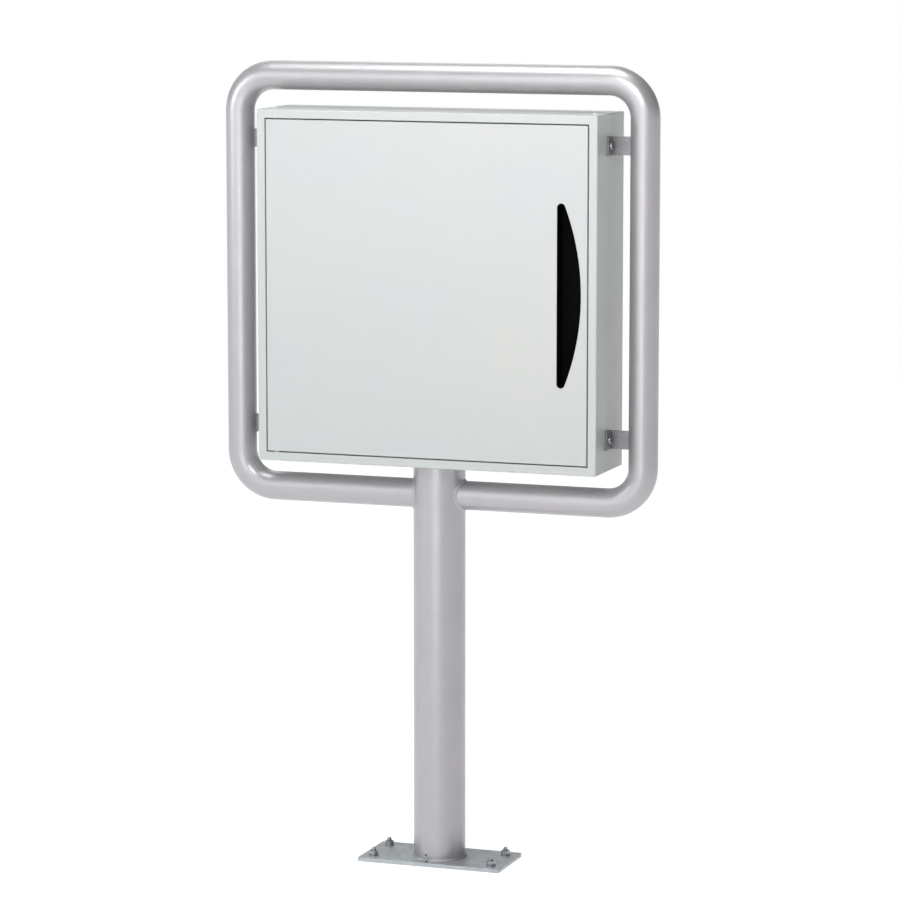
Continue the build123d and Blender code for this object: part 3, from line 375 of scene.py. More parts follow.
@dataclass(frozen=True)
class WorkedMetal:
    """Bare or plated metal with fine drawn marks, stained places and lightened edges, partly rubbed bright
    and partly a painted highlight.
    """

    name: str
    colour: Colour
    shade: Colour
    roughness: float = 0.3
    grain: Grain = Grain.NONE
    mark_scale: float = 900.0
    mark_depth: float = 8 * MICRON
    stain_tone: float = 0.7
    stain_roughness: float = 0.35
    edge: float = 0.6 * MM
    edge_share: float = 0.6
    # The edge tone lightens the edges: partly rubbed metal, partly a painted highlight along them.
    edge_wear_and_highlight: float = 1.25

    def make(self) -> bpy.types.Material:
        """Builds the material."""
        g = Graph(self.name)
        marks = g.noise(self.mark_scale, detail=3.0, rough=0.6, at=g.mapped(self.grain.value))
        body = g.mix(g.fit(marks, 0.3, 0.7), self.colour, self.shade)
        stain = g.mottle(40.0, detail=5.0, rough=0.6, low=0.5, high=0.8, to_high=0.45)
        body = g.mix(stain, body, scaled(self.shade, self.stain_tone))
        # Edges lightened all round: rubbed metal, and also a painted highlight where light would catch the
        # edges.
        rubbed_and_highlit = g.combined("MULTIPLY", g.edges(self.edge), self.edge_share)
        body = g.mix(rubbed_and_highlit, body, scaled(self.colour, self.edge_wear_and_highlight))
        gloss = g.fit(marks, 0.3, 0.7, self.roughness - 0.07, self.roughness + 0.09)
        rough = g.combined("ADD", gloss, g.combined("MULTIPLY", stain, self.stain_roughness))
        normal = g.bump(marks, self.mark_depth)
        return g.finish(Base_Color=body, Roughness=rough, Normal=normal, Metallic=1.0)


@dataclass(frozen=True)
class MouldedPlastic:
    """Moulded plastic or rubber: spark-eroded grain, faint flow marks, bloom, and edges lightened partly as
    handling wear and partly as a painted highlight.
    """

    name: str
    colour: Colour
    shade: Colour
    roughness: float = 0.45
    flow_scale: Point = (22.0, 22.0, 60.0)
    grain_scale: float = 1600.0
    grain_depth: float = 20 * MICRON
    dust: Colour = (0.55, 0.54, 0.52)
    bloom: float = 0.12
    edge: float = 0.8 * MM
    edge_share: float = 0.5
    # The edge tone lightens the edges: partly handling wear, partly a painted highlight along them.
    edge_wear_and_highlight: float = 1.25
    clear_share: float = 0.0
    gloss: float = 0.5

    def make(self) -> bpy.types.Material:
        """Builds the material."""
        g = Graph(self.name)
        flow = g.mottle(1.0, detail=4.0, rough=0.55, low=0.35, high=0.65, at=g.mapped(self.flow_scale))
        body = g.mix(flow, self.colour, self.shade)
        bloom = g.mottle(55.0, detail=6.0, rough=0.72, low=0.52, high=0.82, to_high=self.bloom)
        body = g.mix(bloom, body, self.dust)
        # Edges lightened all round: handling wear, and also a painted highlight where light would catch the
        # edges.
        handled_and_highlit = g.combined("MULTIPLY", g.edges(self.edge), self.edge_share)
        body = g.mix(handled_and_highlit, body, scaled(self.colour, self.edge_wear_and_highlight))
        grain = g.node("TexVoronoi", {"Vector": g.place, "Scale": self.grain_scale}).outputs["Distance"]
        rough = g.mottle(
            30.0, detail=4.0, low=0.3, high=0.7, to_low=self.roughness - 0.05,
            to_high=self.roughness + 0.07,
        )
        return g.finish(
            Base_Color=body, Roughness=g.combined("ADD", rough, bloom),
            Normal=g.bump(grain, self.grain_depth), Transmission_Weight=self.clear_share,
            Specular_IOR_Level=self.gloss,
        )


@dataclass(frozen=True)
class ClearPane:
    """A clear pane with wiped smudges and a few fine scratches."""

    name: str
    colour: Colour = (0.94, 0.98, 0.97)
    shade_tone: float = 0.95
    scratch_scale: Point = (0.03, 1.0, 1.0)
    scratch_depth: float = 3 * MICRON
    index: float = 1.5

    def make(self) -> bpy.types.Material:
        """Builds the material."""
        g = Graph(self.name)
        smudge = g.mottle(45.0, detail=6.0, rough=0.7, low=0.5, high=0.78, to_low=0.02, to_high=0.16)
        scratch = g.mottle(1400.0, detail=2.0, low=0.62, high=0.72, at=g.mapped(self.scratch_scale))
        shade = g.mottle(12.0, detail=3.0, low=0.3, high=0.7)
        return g.finish(
            Base_Color=g.mix(shade, self.colour, scaled(self.colour, self.shade_tone)),
            Roughness=smudge, Normal=g.bump(scratch, self.scratch_depth),
            Transmission_Weight=1.0, IOR=self.index,
        )


@dataclass(frozen=True)
class SegmentScreen:
    """A switched-on display: a grid of fine cells, with rows of lit bars as its only picture."""

    name: str
    dark: Colour = (0.010, 0.022, 0.018)
    lit: Colour = (0.16, 0.36, 0.22)
    cell_scale: float = 420.0
    bar_width: float = 21.0 * MM
    row_height: float = 12.5 * MM
    gap: float = 3.5 * MM
    glow: float = 0.6

    def make(self) -> bpy.types.Material:
        """Builds the material."""
        g = Graph(self.name)
        upright = g.upright()
        bars = g.node(
            "TexBrick",
            {"Vector": upright, "Scale": 1.0, "Mortar Size": self.gap, "Mortar Smooth": 0.0,
             "Bias": -0.35, "Brick Width": self.bar_width, "Row Height": self.row_height,
             "Color1": self.lit, "Color2": self.dark, "Mortar": self.dark},
            offset=0.37, squash=1.6, squash_frequency=3,
        ).outputs["Color"]
        cells = g.node("TexChecker", {"Vector": upright, "Scale": self.cell_scale}).outputs["Fac"]
        body = g.mix(g.fit(cells, 0.0, 1.0, to_high=0.22), bars, self.dark)
        glow = g.mix(g.fit(cells, 0.0, 1.0, to_high=0.35), bars, (0.0, 0.0, 0.0))
        rough = g.mottle(60.0, detail=3.0, low=0.3, high=0.7, to_low=0.12, to_high=0.22)
        return g.finish(
            Base_Color=body, Roughness=rough, Emission_Color=glow, Emission_Strength=self.glow
        )


@dataclass(frozen=True)
class PrintedCard:
    """Laminated card printed with a plain floor plan: walls as lines and a few tinted rooms."""

    name: str
    paper: Colour = (0.80, 0.79, 0.74)
    ink: Colour = (0.10, 0.12, 0.16)
    room: Colour = (0.62, 0.71, 0.66)
    fibre: Colour = (0.5, 0.48, 0.42)
    aged: Colour = (0.72, 0.66, 0.5)
    room_width: float = 44.0 * MM
    room_height: float = 31.0 * MM
    wall: float = 0.6 * MM
    fibre_depth: float = 10 * MICRON

    def make(self) -> bpy.types.Material:
        """Builds the material."""
        g = Graph(self.name)
        plan = g.node(
            "TexBrick",
            {"Vector": g.upright(), "Scale": 1.0, "Mortar Size": self.wall, "Mortar Smooth": 0.1,
             "Bias": -0.1, "Brick Width": self.room_width, "Row Height": self.room_height,
             "Color1": self.paper, "Color2": self.room, "Mortar": self.ink},
            offset=0.42, squash=1.7, squash_frequency=2,
        ).outputs["Color"]
        fibres = g.mottle(900.0, detail=4.0, rough=0.65, low=0.35, high=0.7, to_high=0.12)
        yellowed = g.mottle(9.0, detail=4.0, low=0.4, high=0.75, to_high=0.25)
        body = g.mix(yellowed, g.mix(fibres, plan, self.fibre), self.aged)
        rough = g.mottle(50.0, detail=4.0, low=0.3, high=0.7, to_low=0.22, to_high=0.36)
        return g.finish(Base_Color=body, Roughness=rough, Normal=g.bump(fibres, self.fibre_depth))


FINISHES: dict[str, Finish] = {finish.name: finish for finish in (
    PowderPaint(
        "frame_paint", (0.405, 0.405, 0.43), (0.44, 0.42, 0.432), (0.31, 0.30, 0.315),
        roughness=0.36, metallic=0.6, cloud_scale=26.0, speck_share=0.6, peel_depth=40 * MICRON,
        dirt_share=0.05,
    ),
    PowderPaint(
        "cabinet_paint", (0.455, 0.48, 0.462), (0.445, 0.465, 0.462), (0.40, 0.41, 0.41), roughness=0.42,
    ),
    PowderPaint(
        "door_paint", (0.475, 0.48, 0.468), (0.455, 0.465, 0.475), (0.40, 0.41, 0.41),
        roughness=0.4, cloud_scale=4.0,
    ),
    Galvanised("plate_zinc", (0.48, 0.51, 0.53), (0.385, 0.41, 0.43), metallic=0.45),
    Galvanised(
        "bracket_zinc", (0.29, 0.28, 0.29), (0.20, 0.195, 0.20), flake_scale=260.0, roughness=0.36,
    ),
    Galvanised("inner_zinc", (0.52, 0.53, 0.54), (0.41, 0.42, 0.435), flake_scale=150.0),
    WorkedMetal("fastener_steel", (0.44, 0.46, 0.49), (0.30, 0.315, 0.34)),
    MouldedPlastic(
        "seal_rubber", (0.022, 0.022, 0.023), (0.030, 0.030, 0.031), roughness=0.75,
        grain_scale=2600.0, grain_depth=50 * MICRON, bloom=0.10,
    ),
    MouldedPlastic("plug_plastic", (0.74, 0.75, 0.74), (0.70, 0.71, 0.70), roughness=0.3),
    MouldedPlastic("catch_plastic", (0.060, 0.060, 0.066), (0.045, 0.045, 0.050)),
    # The grip's edges are lightened to twice its colour: partly handling wear, partly a painted highlight
    # along them.
    MouldedPlastic(
        "grip_plastic", (0.0012, 0.0012, 0.0016), (0.0008, 0.0008, 0.0012), roughness=0.7,
        bloom=0.002, edge_wear_and_highlight=2.0, gloss=0.05,
    ),
    WorkedMetal("bush_brass", (0.80, 0.62, 0.32), (0.66, 0.48, 0.22), 0.28, Grain.ALONG_Z),
    WorkedMetal("lock_brass", (0.82, 0.64, 0.34), (0.68, 0.50, 0.24), 0.22, Grain.ALONG_Y),
    WorkedMetal("lock_chrome", (0.66, 0.66, 0.68), (0.56, 0.56, 0.59), 0.12, Grain.ALONG_Y),
    PrintedCard("card_paper"),
    MouldedPlastic("housing_plastic", (0.60, 0.61, 0.60), (0.56, 0.57, 0.565)),
    ClearPane("window_glass"),
    SegmentScreen("screen_plastic"),
    MouldedPlastic(
        "lens_red", (0.62, 0.02, 0.015), (0.50, 0.015, 0.01), roughness=0.16, grain_depth=4 * MICRON,
        bloom=0.02, clear_share=0.35,
    ),
    MouldedPlastic("key_plastic", (0.16, 0.18, 0.21), (0.13, 0.15, 0.175), roughness=0.4),
    MouldedPlastic(
        "call_red", (0.55, 0.018, 0.014), (0.47, 0.014, 0.011), roughness=0.3, grain_depth=8 * MICRON,
        bloom=0.05,
    ),
    MouldedPlastic("button_black", (0.018, 0.018, 0.019), (0.013, 0.013, 0.014), 0.25),
    MouldedPlastic("terminal_plastic", (0.36, 0.37, 0.37), (0.32, 0.33, 0.33)),
    MouldedPlastic("breaker_plastic", (0.70, 0.70, 0.67), (0.66, 0.66, 0.63)),
    WorkedMetal(
        "supply_aluminium", (0.54, 0.55, 0.56), (0.44, 0.45, 0.465), 0.34, Grain.ALONG_X,
    ),
    MouldedPlastic("battery_plastic", (0.075, 0.077, 0.082), (0.06, 0.062, 0.067)),
)}


class Palette:
    """Materials by the record's slot, each built once."""

    def __init__(self) -> None:
        """Starts with no material built."""
        self.built: dict[str, bpy.types.Material] = {}

    def __getitem__(self, slot: str) -> bpy.types.Material:
        """Returns the slot's material, building it the first time."""
        if slot not in self.built:
            self.built[slot] = FINISHES[slot].make()
        return self.built[slot]

    def dress(self, *nodes: str) -> None:
        """Gives CAD nodes the finish of their own slot in the record.

        Args:
            *nodes: The nodes' names.
        """
        slots = {part["node"]: part["material_slot"] for part in frame["record"]["subparts"]}
        for node in nodes:
            materials = frame["nodes"][node].data.materials
            materials.clear()
            materials.append(self[slots[node]])
            log.info("dressed %s in %s", node, slots[node])


# ---------------------------------------------------------------- surfaces
def unit(vectors: np.ndarray) -> np.ndarray:
    """Returns the vectors divided by their lengths."""
    return vectors / np.linalg.norm(vectors, axis=-1, keepdims=True)


@dataclass
class Surface:
    """Points of one or more grids and the faces between neighbours."""

    points: np.ndarray
    faces: list[list[int]]

    @classmethod
    def grid(cls, points: np.ndarray, close_rows: bool = False, close_columns: bool = False) -> "Surface":
        """Joins a grid of points with four-cornered faces.

        Args:
            points: Array of rows, columns and three coordinates.
            close_rows: Whether the last row joins the first.
            close_columns: Whether the last column joins the first.

        Returns:
            The surface.
        """
        rows, columns = points.shape[:2]
        number = np.arange(rows * columns).reshape(rows, columns)
        if close_rows:
            number = np.vstack([number, number[:1]])
        if close_columns:
            number = np.hstack([number, number[:, :1]])
        quads = np.stack([number[:-1, :-1], number[:-1, 1:], number[1:, 1:], number[1:, :-1]], -1)
        return cls(points.reshape(-1, 3), quads.reshape(-1, 4).tolist())

    def capped(self, columns: int) -> "Surface":
        """Closes the first and last row of a tube-like grid with one face each.

        Args:
            columns: Points in a row.

        Returns:
            The surface itself.
        """
        count = len(self.points)
        self.faces.append(list(range(columns)))
        self.faces.append(list(reversed(range(count - columns, count))))
        return self

    def moved(self, by: Point) -> "Surface":
        """Returns a copy moved by a vector."""
        return Surface(self.points + np.array(by), [list(face) for face in self.faces])

    @classmethod
    def joined(cls, parts: list["Surface"]) -> "Surface":
        """Puts several surfaces into one mesh.

        Args:
            parts: The surfaces.

        Returns:
            One surface with all their points and faces.
        """
        faces, start = [], 0
        for part in parts:
            faces += [[start + corner for corner in face] for face in part.faces]
            start += len(part.points)
        return cls(np.concatenate([part.points for part in parts]), faces)

    @classmethod
    def sheet(cls, front: np.ndarray, back: np.ndarray) -> "Surface":
        """Joins two matching grids along their rims.

        Args:
            front: Grid that faces -Y.
            back: Grid that faces +Y.

        Returns:
            The closed surface.
        """
        rows, columns = front.shape[:2]
        number = np.arange(rows * columns).reshape(rows, columns)
        rim = np.concatenate([number[0, :-1], number[:-1, -1], number[-1, :0:-1], number[:0:-1, 0]])
        after = np.roll(rim, -1)
        walls = np.stack([rim, rim + number.size, after + number.size, after], -1).tolist()
        behind = cls.grid(back)
        behind.faces = [face[::-1] for face in behind.faces]
        closed = cls.joined([cls.grid(front), behind])
        closed.faces += walls
        return closed

    def piece(
        self, name: str, palette: Palette, slot: str, body: str, node: str, sharp_angle: float = 40.0
    ) -> None:
        """Makes the mesh object that stands in for a CAD node.

        Args:
            name: The piece's name.
            palette: The materials.
            slot: The record's slot of its finish.
            body: The CAD body that it rides on.
            node: The CAD node that it replaces.
            sharp_angle: Turn between faces, in degrees, past which an edge stays sharp.
        """
        mesh = bpy.data.meshes.new(name)
        mesh.from_pydata(self.points.tolist(), [], self.faces)
        mesh.polygons.foreach_set("use_smooth", np.ones(len(mesh.polygons), bool))
        mesh.set_sharp_from_angle(angle=math.radians(sharp_angle))
        mesh.materials.append(palette[slot])
        made = bpy.data.objects.new(name, mesh)
        bpy.context.scene.collection.objects.link(made)
        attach(made, body)
        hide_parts(node)
        log.info("made %s with %d faces", name, len(mesh.polygons))


@dataclass(frozen=True)
class Weld:
    """A rippled fillet weld: its leg, the length of one half-moon, and the form of its section.

    The ripple, the flatness and the depth of the root are shares of the leg, and the trail is the
    angle in radians by which the half-moons fall back at the section's two toes.
    """

    leg: float = 4.0 * MM
    moon: float = 3.4 * MM
    ripple: float = 0.14
    flatness: float = 0.10
    trail: float = 0.9
    root: float = 0.1
    fewest_moons: int = 8
    section_points: int = 9

    def bead(self, corner: np.ndarray, up: np.ndarray, out: np.ndarray) -> Surface:
        """Carries the weld's section along a closed line.

        At angle a from 0 to 90 degrees a point of the section is
        corner + reach * (cos a * up + sin a * out), and the section closes at its root, a little
        behind the corner. The reach is leg * (1 - ripple + ripple * wave) * (1 - flatness * sin 2a).
        The wave is the size of a sine of the way along the line, with half a period to each
        half-moon and its phase ahead by trail * (cos 2a) squared.

        Args:
            corner: Points of the line where the two surfaces meet, one row each.
            up: Direction along the first surface at each point.
            out: Direction along the second surface at each point.

        Returns:
            The closed surface.
        """
        length = np.linalg.norm(np.roll(corner, -1, 0) - corner, axis=1).sum()
        moons = max(self.fewest_moons, round(length / self.moon))
        along = np.linspace(0.0, 2 * np.pi, len(corner), endpoint=False)[:, None]
        angle = np.linspace(0.0, np.pi / 2, self.section_points)[None, :]
        wave = np.abs(np.sin(along * moons / 2 + self.trail * np.cos(2 * angle) ** 2))
        rippled = 1.0 - self.ripple + self.ripple * wave
        reach = self.leg * rippled * (1.0 - self.flatness * np.sin(2 * angle))
        towards = np.cos(angle)[..., None] * up[:, None] + np.sin(angle)[..., None] * out[:, None]
        face = corner[:, None] + reach[..., None] * towards
        root = corner[:, None] - self.root * self.leg * (up + out)[:, None]
        return Surface.grid(np.concatenate([face, root], axis=1), close_rows=True, close_columns=True)


@dataclass(frozen=True)
class ThreadedRod:
    """An upright rod with a plain foot, a cut thread and a plain turned tip."""

    radius: float = 5.0 * MM
    depth: float = 0.75 * MM
    pitch: float = 1.5 * MM
    tip_radius: float = 4.0 * MM
    tip_height: float = 4.0 * MM
    chamfer: float = 0.6 * MM
    fade: float = 0.5
    around: int = 28
    rings_per_turn: int = 12

    def surface(self, foot: float, start: float, top: float) -> Surface:
        """Turns the rod round the Z axis.

        The thread's radius at angle a and height z is radius - depth * w, where w is a triangle wave
        of z / pitch - a / 360 degrees that fades in and out over half a pitch at its ends.

        Args:
            foot: Height of the foot.
            start: Height where the thread starts.
            top: Height of the tip's end.

        Returns:
            The closed surface.
        """
        end = top - self.tip_height
        angle = np.linspace(0.0, 2 * np.pi, self.around, endpoint=False)[None, :]
        height = np.linspace(start, end, round((end - start) / self.pitch * self.rings_per_turn))[:, None]
        phase = (height / self.pitch - angle / (2 * np.pi)) % 1.0
        wave = 1.0 - np.abs(2.0 * phase - 1.0)
        share = np.clip(np.minimum(height - start, end - height) / (self.fade * self.pitch), 0.0, 1.0)
        thread = self.radius - self.depth * wave * share
        tip = self.tip_radius
        ends = np.array([
            [foot, self.radius], [end, self.radius - self.depth], [end, tip],
            [top - self.chamfer, tip], [top, tip - self.chamfer],
        ])
        plain_heights, plain_radii = (np.repeat(ends[:, i:i + 1], self.around, 1) for i in range(2))
        thread_heights = np.repeat(height, self.around, 1)
        radii = np.vstack([plain_radii[:1], thread, plain_radii[1:]])
        heights = np.vstack([plain_heights[:1], thread_heights, plain_heights[1:]])
        points = np.stack([radii * np.cos(angle), radii * np.sin(angle), heights], -1)
        return Surface.grid(points, close_columns=True).capped(self.around)


# ---------------------------------------------------------------- sub-assemblies
@dataclass
class Stand:
    """Base plate with its anchors, post, frame tube, brackets and the welds between them."""

    palette: Palette
    nodes: tuple[str, ...] = (
        "base_plate", "post_tube", "post_head", "frame_tube", "weld_beads", "anchor_studs",
        "anchor_nuts", "earth_screw", "frame_brackets", "bracket_screws", "bracket_nuts",
    )
    weld: Weld = Weld()
    foot_points: int = 720
    saddle_points: int = 480
    anchor: ThreadedRod = ThreadedRod()
    hidden_thread: float = 3.0 * MM

    def build(self) -> None:
        """Dresses the nodes, then makes the welds and the threaded anchors."""
        self.palette.dress(*self.nodes)
        self.welds()
        self.anchors()

    def welds(self) -> None:
        """A bead round the post's foot and one round each end of the frame tube."""
        low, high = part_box("post_tube")
        post_radius = (high.x - low.x) / 2
        angle = np.linspace(0.0, 2 * np.pi, self.foot_points, endpoint=False)
        ring = np.stack([np.cos(angle), np.sin(angle), 0 * angle], -1)
        foot = ring * post_radius + np.array([0.0, 0.0, low.z])
        upwards = np.tile([0.0, 0.0, 1.0], (self.foot_points, 1))
        beads = [self.weld.bead(foot, upwards, ring)]
        beads += [self.saddle(post_radius, side) for side in (-1, 1)]
        Surface.joined(beads).piece(
            "rippled_welds", self.palette, "frame_paint", "station", "weld_beads", sharp_angle=60.0
        )

    def saddle(self, post_radius: float, side: int) -> Surface:
        """The bead where one end of the frame tube meets the post.

        At angle a round the tube the line's y is r cos a, its height above the tube's middle is
        r sin a, and its x is the root of R squared less y squared, with r the tube's radius and R
        the post's.

        Args:
            post_radius: The post's radius.
            side: -1 for the left end and 1 for the right one.

        Returns:
            The bead's surface.
        """
        low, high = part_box("frame_tube")
        radius = (high.y - low.y) / 2
        middle = low.z + radius
        angle = np.linspace(0.0, 2 * np.pi, self.saddle_points, endpoint=False) * side
        y, z = radius * np.cos(angle), radius * np.sin(angle)
        x = side * np.sqrt(post_radius**2 - y**2)
        corner = np.stack([x, y, middle + z], -1)
        away = np.stack([0 * y, y, z], -1) / radius
        wall = np.stack([x, y, 0 * y], -1) / post_radius
        up = unit(away - (away * wall).sum(-1, keepdims=True) * wall)
        out = np.tile([float(side), 0.0, 0.0], (self.saddle_points, 1))
        return self.weld.bead(corner, up, out)

    def anchors(self) -> None:
        """Four threaded anchor ends with turned tips."""
        low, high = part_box("anchor_studs")
        nut_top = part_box("anchor_nuts")[1].z
        rod = self.anchor.surface(low.z, nut_top - self.hidden_thread, high.z)
        radius = self.anchor.radius
        places = [
            (x, y, 0.0) for x in (low.x + radius, high.x - radius) for y in (low.y + radius, high.y - radius)
        ]
        Surface.joined([rod.moved(place) for place in places]).piece(
            "threaded_anchors", self.palette, "fastener_steel", "station", "anchor_studs"
        )


@dataclass
class Cabinet:
    """Sheet body, door jamb with its bulb seal, hinge pins, catches and plugs."""

    palette: Palette
    nodes: tuple[str, ...] = (
        "cabinet_body", "jamb_frame", "door_seal", "roof_plugs", "floor_gasket", "cable_grommet",
        "floor_screws", "pivot_blocks", "pivot_pins", "magnet_catches", "door_contact",
    )
    seal_width: float = 8.0 * MM
    bulb_radius: float = 2.75 * MM
    bulb_reach: tuple[float, float] = (-20.0, 200.0)
    bulb_points: int = 19
    foot_height: float = 1.4 * MM
    corner_radius: float = 9.0 * MM
    corner_points: int = 9

    def build(self) -> None:
        """Dresses the nodes, then makes the seal."""
        self.palette.dress(*self.nodes)
        self.seal()

    def section(self) -> np.ndarray:
        """The seal's section: a flat foot with a round bulb on it.

        The bulb's point at angle a is (r cos a, top - r + r sin a), from -20 to 200 degrees.

        Returns:
            Rows of offset across the seal and height above the ledge.
        """
        low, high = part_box("door_seal")
        middle = (high.y - low.y) - self.bulb_radius
        angle = np.radians(np.linspace(*self.bulb_reach, self.bulb_points))
        bulb = np.stack([self.bulb_radius * np.cos(angle), middle + self.bulb_radius * np.sin(angle)], -1)
        half = self.seal_width / 2
        foot = np.array([[-half, self.foot_height], [-half, 0.0], [half, 0.0], [half, self.foot_height]])
        return np.concatenate([bulb, foot])

    def seal(self) -> None:
        """Carries the section round a rounded rectangle on the jamb's ledge.

        The path's corner at angle a is its centre plus R (cos a, sin a), and the section's offset
        points outwards along the same direction.
        """
        low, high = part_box("door_seal")
        radius = self.corner_radius
        reach = self.seal_width / 2 + radius
        centres = ((high.x - reach, high.z - reach), (low.x + reach, high.z - reach),
                   (low.x + reach, low.z + reach), (high.x - reach, low.z + reach))
        quarters = [np.linspace(90.0 * i, 90.0 * (i + 1), self.corner_points) for i in range(4)]
        turn = np.radians(np.concatenate(quarters))
        centre = np.repeat(np.array(centres), self.corner_points, axis=0)
        outwards = np.stack([np.cos(turn), np.sin(turn)], -1)
        section = self.section()
        flat = centre[:, None] + outwards[:, None] * (radius + section[None, :, :1])
        depth = np.broadcast_to(high.y - section[None, :, 1:], flat[..., :1].shape)
        points = np.concatenate([flat[..., :1], depth, flat[..., 1:]], -1)
        Surface.grid(points, close_rows=True, close_columns=True).piece(
            "bulb_seal", self.palette, "seal_rubber", "station", "door_seal"
        )


@dataclass
class Door:
    """Outer and inner skins, grip recess, hinge blocks, and the pocket with its cards."""

    palette: Palette
    nodes: tuple[str, ...] = (
        "door_panel", "door_inner_panel", "door_stiffeners", "grip_cup", "pivot_bushes",
        "strike_plates", "contact_magnet", "card_pocket", "route_cards",
    )
    card_count: int = 5
    card_rounding: float = 6.0 * MM
    card_thickness: float = 0.5 * MM
    first_drop: float = 1.5 * MM
    drop_step: float = 2.5 * MM
    shuffle: int = 7
    bow: float = 0.35 * MM
    unbowed: float = 0.3
    across_points: int = 33
    upright_points: int = 25

    def build(self) -> None:
        """Dresses the nodes, then makes the cards."""
        self.palette.dress(*self.nodes)
        self.cards()

    def cards(self) -> None:
        """Cards with rounded corners, each a little bowed and standing at its own height.

        A card's point at (u, v), both from -1 to 1, is its middle plus half its size times (u, v),
        with the corners drawn in to a radius. Its depth is bow * (u squared - 0.3) * (1 + v) / 2,
        and every other card bows the other way.
        """
        low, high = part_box("route_cards")
        step = (high.y - low.y - 2 * self.card_thickness) / (self.card_count - 1)
        half_width, middle = (high.x - low.x) / 2, (low.x + high.x) / 2
        u = np.linspace(-1.0, 1.0, self.across_points)[None, :]
        v = np.linspace(-1.0, 1.0, self.upright_points)[:, None]
        cards = []
        for i in range(self.card_count):
            drop = self.first_drop + self.drop_step * (i * self.shuffle % self.card_count)
            height = high.z - low.z - drop
            into = np.abs(v) * height / 2 - (height / 2 - self.card_rounding)
            pull = self.card_rounding * (1.0 - np.sqrt(1.0 - np.clip(into / self.card_rounding, 0, 1)**2))
            x = u * (half_width - pull) + middle
            z = np.broadcast_to(low.z + height * (v + 1) / 2, x.shape)
            sag = self.bow * (u**2 - self.unbowed) * (1 + v) / 2 * (-1)**i
            y = low.y + self.card_thickness + i * step + sag
            front, back = (np.stack([x, y + side * self.card_thickness / 2, z], -1) for side in (-1, 1))
            cards.append(Surface.sheet(front, back))
        Surface.joined(cards).piece(
            "plan_cards", self.palette, "card_paper", "door", "route_cards"
        )


@dataclass
class Gear:
    """Everything on the mounting plate and on the cabinet's floor."""

    palette: Palette
    nodes: tuple[str, ...] = (
        "mounting_plate", "standoffs", "display_housing", "display_window", "display_screen",
        "indicator_lenses", "control_housing", "key_1", "key_2", "key_3", "key_4", "lock_body",
        "lock_plug", "call_point_housing", "call_point_button", "transmitter_housing",
        "transmitter_lid", "cable_glands", "din_rail", "terminal_blocks", "circuit_breaker",
        "breaker_lever", "power_supply", "heater", "battery_tray", "battery", "battery_strap",
        "earth_stud",
    )

    def build(self) -> None:
        """Dresses the nodes."""
        self.palette.dress(*self.nodes)


# ---------------------------------------------------------------- stage
@dataclass(frozen=True)
class Softbox:
    """A square area light.

    Its fields are its name, its place, the point that it faces, its side in metres, its power in
    watts, its colour, and the angle in degrees that its light spreads over.
    """

    name: str
    at: Point
    facing: Point
    side: float
    power: float
    colour: Colour
    spread: float = 180.0

    def build(self) -> None:
        """Makes the light."""
        data = bpy.data.lights.new(self.name, "AREA")
        data.size, data.energy, data.color = self.side, self.power, self.colour
        data.spread = math.radians(self.spread)
        lamp = bpy.data.objects.new(self.name, data)
        bpy.context.scene.collection.objects.link(lamp)
        lamp.location = self.at
        lamp.rotation_euler = (Vector(self.facing) - Vector(self.at)).to_track_quat("-Z", "Y").to_euler()


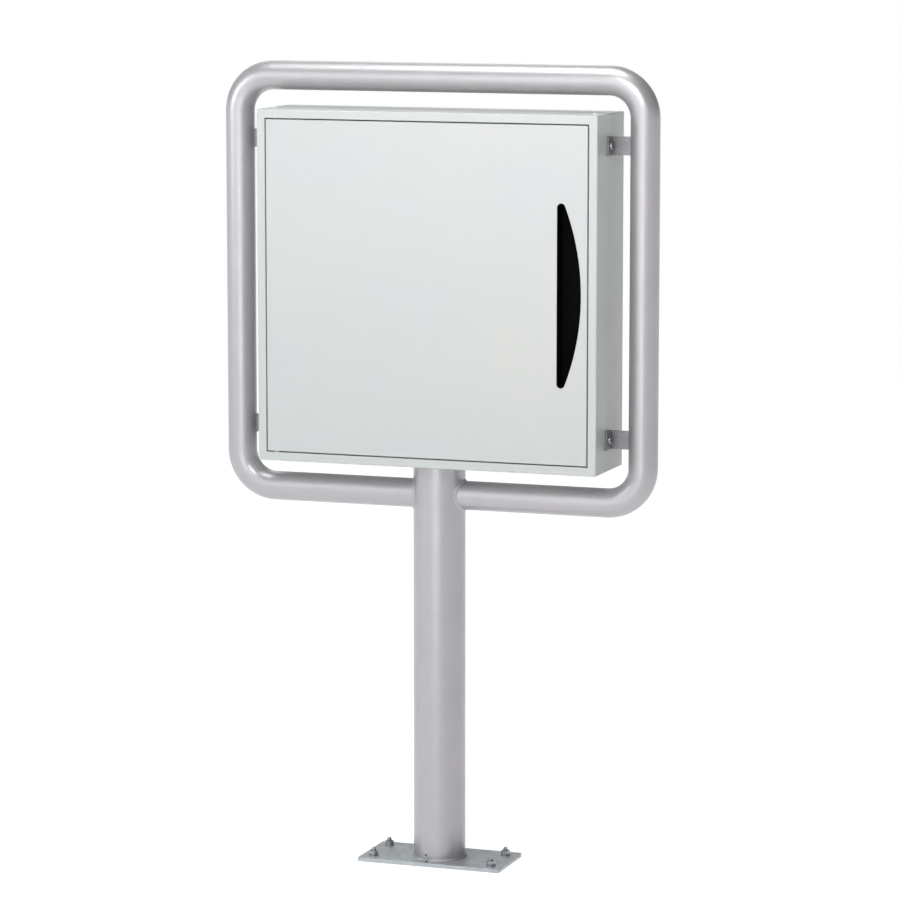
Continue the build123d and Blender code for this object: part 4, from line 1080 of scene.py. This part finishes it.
@dataclass
class Stage:
    """Pale floor, soft lights and the camera.

    The lens is in millimetres for each metre of distance. The surround's strength runs from the value
    at the horizon up to one that a ramp sideways gives.
    """

    aim: Point = (0.023, 0.0, 0.868)
    yaw: float = 19.6
    pitch: float = 8.1
    distance: float = 8.2
    sensor: float = 36.0
    lens_per_metre: float = 19.35
    farthest: float = 500.0
    floor_half: float = 150.0
    floor_tones: tuple[Colour, Colour] = ((0.32, 0.32, 0.32), (0.30, 0.30, 0.305))
    floor_glow: float = 0.88
    sky: Colour = (0.97, 0.985, 1.0)
    sideways: Ramp = (-0.3, 0.7, 0.45, 0.10)
    horizon: Ramp = (0.02, 0.09, 1.03)
    softboxes: tuple[Softbox, ...] = (
        Softbox("key", (0.9, -3.0, 3.0), (0.25, 0.0, 1.85), 1.2, 6.8, (1.0, 0.985, 0.945), 55.0),
        Softbox("front_left", (-1.2, -4.2, 2.2), (0.0, 0.0, 1.2), 2.6, 25.0, (0.97, 0.985, 1.0)),
        Softbox("left", (-3.2, -2.6, 2.2), (0.0, 0.0, 1.2), 1.7, 42.0, (0.93, 0.965, 1.0)),
        Softbox("low", (0.3, -3.8, 0.9), (0.0, 0.0, 1.0), 1.7, 17.0, (0.91, 0.955, 1.0)),
        Softbox("overhead", (-0.2, -0.6, 4.4), (0.0, 0.0, 1.1), 2.2, 74.0, (1.0, 0.99, 0.96)),
        Softbox("rear", (-2.6, 5.0, 4.6), (0.0, 0.0, 1.1), 3.0, 34.0, (0.97, 0.985, 1.0)),
    )

    def build(self) -> None:
        """Makes the floor, the surround, the lights and the camera."""
        self.floor()
        self.surround()
        for box in self.softboxes:
            box.build()
        self.camera()

    def floor(self) -> None:
        """A large flat sheet under the base plate."""
        half = self.floor_half
        mesh = bpy.data.meshes.new("floor")
        corners = [(-half, -half, 0.0), (half, -half, 0.0), (half, half, 0.0), (-half, half, 0.0)]
        mesh.from_pydata(corners, [], [(0, 1, 2, 3)])
        floor = bpy.data.objects.new("floor", mesh)
        bpy.context.scene.collection.objects.link(floor)
        g = Graph("floor_white")
        tone = g.mix(g.mottle(40.0, detail=4.0, low=0.3, high=0.7), *self.floor_tones)
        mesh.materials.append(g.finish(
            Base_Color=tone, Roughness=0.9, Emission_Color=(1.0, 1.0, 1.0), Emission_Strength=self.floor_glow
        ))

    def surround(self) -> None:
        """A dim surround, dimmer on the right, and white where it meets the floor and below that."""
        world = bpy.data.worlds.new("studio")
        bpy.context.scene.world = world
        world.use_nodes = True
        tree = world.node_tree
        direction = tree.nodes.new("ShaderNodeTexCoord")
        split = tree.nodes.new("ShaderNodeSeparateXYZ")
        tree.links.new(direction.outputs["Generated"], split.inputs["Vector"])
        across, band = (tree.nodes.new("ShaderNodeMapRange") for _ in range(2))
        for ramp, axis, ends in ((across, "X", self.sideways), (band, "Z", self.horizon)):
            ramp.interpolation_type = "SMOOTHSTEP"
            for socket, value in zip(("From Min", "From Max", "To Min", "To Max"), ends):
                ramp.inputs[socket].default_value = value
            tree.links.new(split.outputs[axis], ramp.inputs["Value"])
        tree.links.new(across.outputs["Result"], band.inputs["To Max"])
        sky = tree.nodes["Background"]
        sky.inputs["Color"].default_value = (*self.sky, 1.0)
        tree.links.new(band.outputs["Result"], sky.inputs["Strength"])

    def camera(self) -> None:
        """A long lens that looks down a little from the right."""
        data = bpy.data.cameras.new("view")
        data.sensor_width = self.sensor
        data.lens = self.lens_per_metre * self.distance
        data.clip_end = self.farthest
        view = bpy.data.objects.new("view", data)
        bpy.context.scene.collection.objects.link(view)
        yaw, pitch = math.radians(self.yaw), math.radians(self.pitch)
        back = Vector((math.sin(yaw) * math.cos(pitch), -math.cos(yaw) * math.cos(pitch), math.sin(pitch)))
        view.location = Vector(self.aim) + back * self.distance
        view.rotation_euler = (-back).to_track_quat("-Z", "Y").to_euler()
        bpy.context.scene.camera = view
        bpy.context.scene.view_settings.view_transform = "Standard"


def main() -> None:
    """Builds every part of the scene in order."""
    logging.basicConfig(level=logging.INFO)
    palette = Palette()
    for part in (Stand(palette), Cabinet(palette), Door(palette), Gear(palette), Stage()):
        log.info("building %s", type(part).__name__)
        part.build()


if __name__ == "__main__":
    main()
